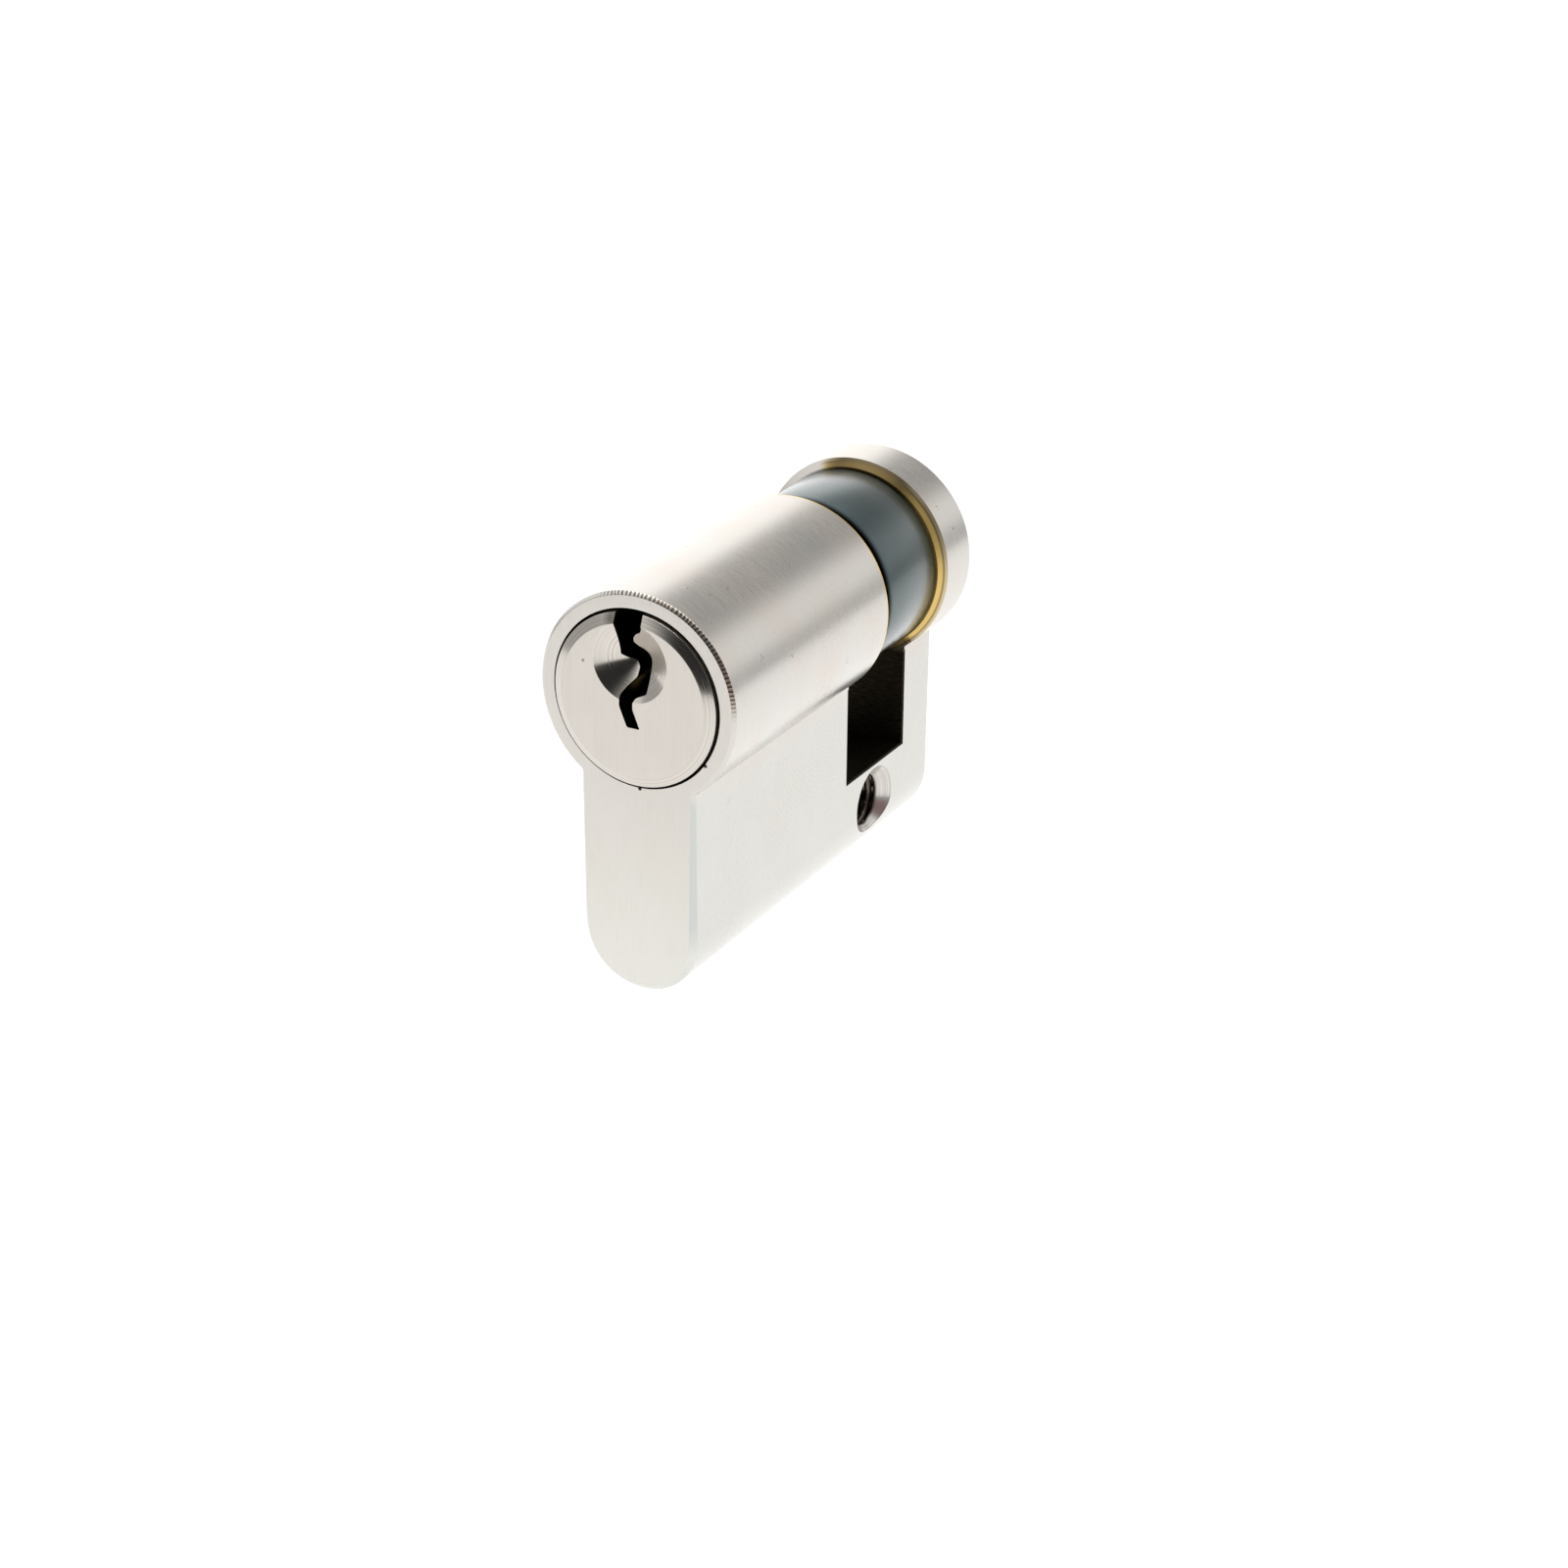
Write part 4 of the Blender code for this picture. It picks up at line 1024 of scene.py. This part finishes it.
def stub(start, end, radius, chamfer, end_ring):
    """The (radius, place) line of a round bar with chamfered ends."""
    step = copysign(chamfer, end - start)
    return [(end_ring, start), (radius - chamfer, start), (radius, start + step),
            (radius, end - step), (radius - chamfer, end), (end_ring, end)]


def build_bearing():
    """The brass stub in the blind end of the bore that carries the back of the cam."""
    profile = stub(BEARING_LOW[1], BEARING_HIGH[1], BEARING_RADIUS, PIN_CHAMFER, BEARING_END_RING)
    bearing = turned("fine_rear_bearing", rounded(profile, BEARING_ROUNDING), MEDIUM, about_barrel, PIN_BRASS)
    return finish_piece(bearing, "housing", "brass", "rear_bearing")


# ---- pin stacks and springs

def coil_points(wire, radius, turns, length):
    """Points of a compression spring's wire, with a closed turn at each end."""
    closed = CLOSED_PITCH * wire
    open_pitch = (length - wire - 2 * closed) / (turns - 2)
    points = []
    for n in range(turns * POINTS_PER_TURN + 1):
        turn = n / POINTS_PER_TURN
        height = wire / 2 + closed * min(turn, 1.0) + open_pitch * min(max(turn - 1.0, 0.0), turns - 2.0)
        height += closed * max(turn - (turns - 1.0), 0.0)
        points.append((radius * cos(tau * turn), radius * sin(tau * turn), height))
    return points


def coil(name, wire, radius, turns, length, place):
    """A spring as a mesh tube round its wire's line."""
    points = [Vector(p) for p in coil_points(wire, radius, turns, length)]
    angles = [tau * m / WIRE_SIDES for m in range(WIRE_SIDES)]
    rings = []
    for n, point in enumerate(points):
        ahead = points[min(n + 1, len(points) - 1)] - points[max(n - 1, 0)]
        outward = Vector((point.x, point.y, 0.0)).normalized()
        across = ahead.normalized().cross(outward)
        ring = [point + (outward * cos(a) + across * sin(a)) * wire / 2 for a in angles]
        rings.append([place(*p) for p in ring])
    return skin(name, rings, SPRING_WIRE)


def spring_radius(low, high, wire):
    """A coil's mean radius from its box."""
    return (high[0] - low[0]) / 2 - wire / 2


def build_key_pin(number):
    """A key pin with its pointed tip."""
    low, high = box_mm(f"key_pin_{number}")
    radius = high[0]
    shoulder = high[2] - (radius - KEY_PIN_TIP)
    profile = [(PIN_END_RING, high[2]), (KEY_PIN_TIP, high[2]), (radius, shoulder),
               (radius, low[2] + PIN_CHAMFER), (radius - PIN_CHAMFER, low[2]), (PIN_END_RING, low[2])]
    pin = turned(f"fine_key_pin_{number}", rounded(profile, KEY_PIN_ROUNDING), SMALL,
                 upright(pin_y(number)), PIN_BRASS)
    return finish_piece(pin, f"key_pin_{number}", "brass", f"key_pin_{number}")


def build_plain_pin(node, number, body, chamfer):
    """A driver pin or a chamber's cap."""
    low, high = box_mm(node)
    profile = stub(high[2], low[2], high[0], chamfer, PIN_END_RING)
    pin = turned(f"fine_{node}", rounded(profile, PIN_ROUNDING), SMALL, upright(pin_y(number)), PIN_BRASS)
    return finish_piece(pin, body, "brass", node)


def build_pin_spring(number):
    """The spring between a chamber's cap and its driver pin."""
    place = upright(pin_y(number))
    low, high = box_mm(f"pin_spring_{number}")
    wire, turns = PIN_SPRING
    length = high[2] - low[2]
    spring = coil(f"fine_pin_spring_{number}", wire, spring_radius(low, high, wire), turns, length,
                  lambda x, y, h: place(x, y, low[2] + h))
    finish_piece(spring, "housing", "spring_steel", f"pin_spring_{number}")
    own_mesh(spring)


def build_pin_stack(number):
    """One chamber's key pin, driver pin, cap and spring."""
    build_key_pin(number)
    build_plain_pin(f"driver_pin_{number}", number, f"driver_pin_{number}", PIN_CHAMFER)
    build_plain_pin(f"chamber_cap_{number}", number, "housing", CAP_CHAMFER)
    build_pin_spring(number)


def build_coupling_spring():
    """The spring between the coupling and the rear bearing."""
    low, high = box_mm("coupling_spring")
    wire, turns = COUPLING_SPRING
    length = high[1] - low[1]
    spring = coil("fine_coupling_spring", wire, spring_radius(low, high, wire), turns, length,
                  lambda x, z, h: about_barrel(x, z, low[1] + h))
    finish_piece(spring, "housing", "spring_steel", "coupling_spring")
    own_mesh(spring)


# ---- studio

# Floor, in millimetres.
FLOOR_DROP = 70.0
FLOOR_HALF = 620.0
FLOOR_COLOUR = (0.86, 0.86, 0.86, 1.0)

# World light: LOW_LIGHT at the horizon and below, growing to WALL_LIGHT at the height WALL_START.
STUDIO_TINT = (1.0, 0.995, 0.985, 1.0)
BACKGROUND_LIGHT = 1.1
LOW_LIGHT = 0.62
WALL_LIGHT = 1.05
WALL_START = 0.14
STUDIO_CARDS = [  # azimuth, elevation, inner and outer radius in degrees, brightness
    (118, 20, 26, 48, 0.42),
    (150, 40, 28, 54, 0.22),
    (163, 10, 16, 34, 0.03),
    (-121, 2, 14, 26, 0.52),
    (-34, 10, 24, 38, 1.50),
    (5, 40, 10, 31, 0.42),
]

# Lamp, in metres and watts.
LAMP_PLACE = (-0.1, 0.1, 1.3)
LAMP_SIZE = 1.6
LAMP_POWER = 20.0

# Camera: its angles, then its distance, target and lens in millimetres.
CAMERA_AZIMUTH = radians(28.396)
CAMERA_ELEVATION = radians(24.056)
CAMERA_ROLL = radians(0.557)
CAMERA_DISTANCE = 283.48
CAMERA_TARGET = (1.85, -10.0, 4.81)
CAMERA_LENS = 80.41


def direction(azimuth, elevation):
    """A unit vector. Azimuth 0 points along +Y and 90 along +X, in degrees."""
    a, e = radians(azimuth), radians(elevation)
    return (sin(a) * cos(e), cos(a) * cos(e), sin(e))


def lay_card(tree, ray, light, card):
    """Lays one soft card over the studio's light."""
    azimuth, elevation, inner, outer, brightness = card
    facing = add_node(tree, "ShaderNodeVectorMath", {0: ray, 1: direction(azimuth, elevation)}, "Value",
                      operation="DOT_PRODUCT")
    mask = add_node(tree, "ShaderNodeMapRange", {"Value": facing, "From Min": cos(radians(outer)),
                                                 "From Max": cos(radians(inner))},
                    interpolation_type="SMOOTHSTEP")
    return add_node(tree, "ShaderNodeMix", {0: mask, 2: light, 3: brightness})


def build_surroundings():
    """The studio that the metal reflects: pale walls with bright and dark soft cards.

    The camera itself sees a plain pale background, of brightness BACKGROUND_LIGHT.
    """
    world = bpy.data.worlds.new("studio")
    bpy.context.scene.world = world
    world.use_nodes = True
    tree = world.node_tree
    ray = add_node(tree, "ShaderNodeTexCoord", {}, "Generated")
    height = add_node(tree, "ShaderNodeSeparateXYZ", {"Vector": ray}, "Z")
    light = add_node(tree, "ShaderNodeMapRange", {"Value": height, "From Min": 0.0, "From Max": WALL_START,
                                                  "To Min": LOW_LIGHT, "To Max": WALL_LIGHT})
    for card in STUDIO_CARDS:
        light = lay_card(tree, ray, light, card)
    seen = add_node(tree, "ShaderNodeLightPath", {}, "Is Camera Ray")
    light = add_node(tree, "ShaderNodeMix", {0: seen, 2: light, 3: BACKGROUND_LIGHT})
    background = tree.nodes["Background"]
    fill(tree, background.inputs["Strength"], light)
    fill(tree, background.inputs["Color"], STUDIO_TINT)


def build_floor():
    """A plain pale floor under the cylinder."""
    mesh = bpy.data.meshes.new("floor")
    shape = bmesh.new()
    bmesh.ops.create_grid(shape, x_segments=1, y_segments=1, size=FLOOR_HALF * MM)
    shape.to_mesh(mesh)
    shape.free()
    floor = bpy.data.objects.new("floor", mesh)
    floor.location = (0.0, 0.0, (HOUSING_LOW[2] - FLOOR_DROP) * MM)
    bpy.context.scene.collection.objects.link(floor)
    f = Finish("pale_floor", 0.85, 0.0)
    f.shader.inputs["Specular IOR Level"].default_value = 0.1
    mesh.materials.append(f.look(FLOOR_COLOUR))


def build_lights():
    """One large soft light overhead."""
    lamp = bpy.data.lights.new("overhead", "AREA")
    lamp.shape = "DISK"
    lamp.size = LAMP_SIZE
    lamp.energy = LAMP_POWER
    light = bpy.data.objects.new("overhead", lamp)
    light.location = LAMP_PLACE
    light.rotation_euler = Vector(light.location).to_track_quat("Z", "Y").to_euler()
    bpy.context.scene.collection.objects.link(light)


def build_camera():
    """The camera at the photograph's viewing angle."""
    camera = bpy.data.cameras.new("camera")
    camera.lens = CAMERA_LENS
    camera.clip_start = 0.01
    camera.clip_end = 10.0
    obj = bpy.data.objects.new("camera", camera)
    back = Vector((sin(CAMERA_AZIMUTH) * cos(CAMERA_ELEVATION),
                   -cos(CAMERA_AZIMUTH) * cos(CAMERA_ELEVATION), sin(CAMERA_ELEVATION)))
    obj.location = (Vector(CAMERA_TARGET) + back * CAMERA_DISTANCE) * MM
    obj.rotation_mode = "QUATERNION"
    obj.rotation_quaternion = back.to_track_quat("Z", "Y") @ Quaternion((0, 0, 1), CAMERA_ROLL)
    bpy.context.scene.collection.objects.link(obj)
    bpy.context.scene.camera = obj
    bpy.context.scene.view_settings.view_transform = "Standard"


build_camera()
build_housing()
build_plug()
build_clip()
build_cam()
build_coupling()
build_coupling_spring()
build_bearing()
for stack_number in PIN_NUMBERS:
    build_pin_stack(stack_number)
build_surroundings()
build_floor()
build_lights()
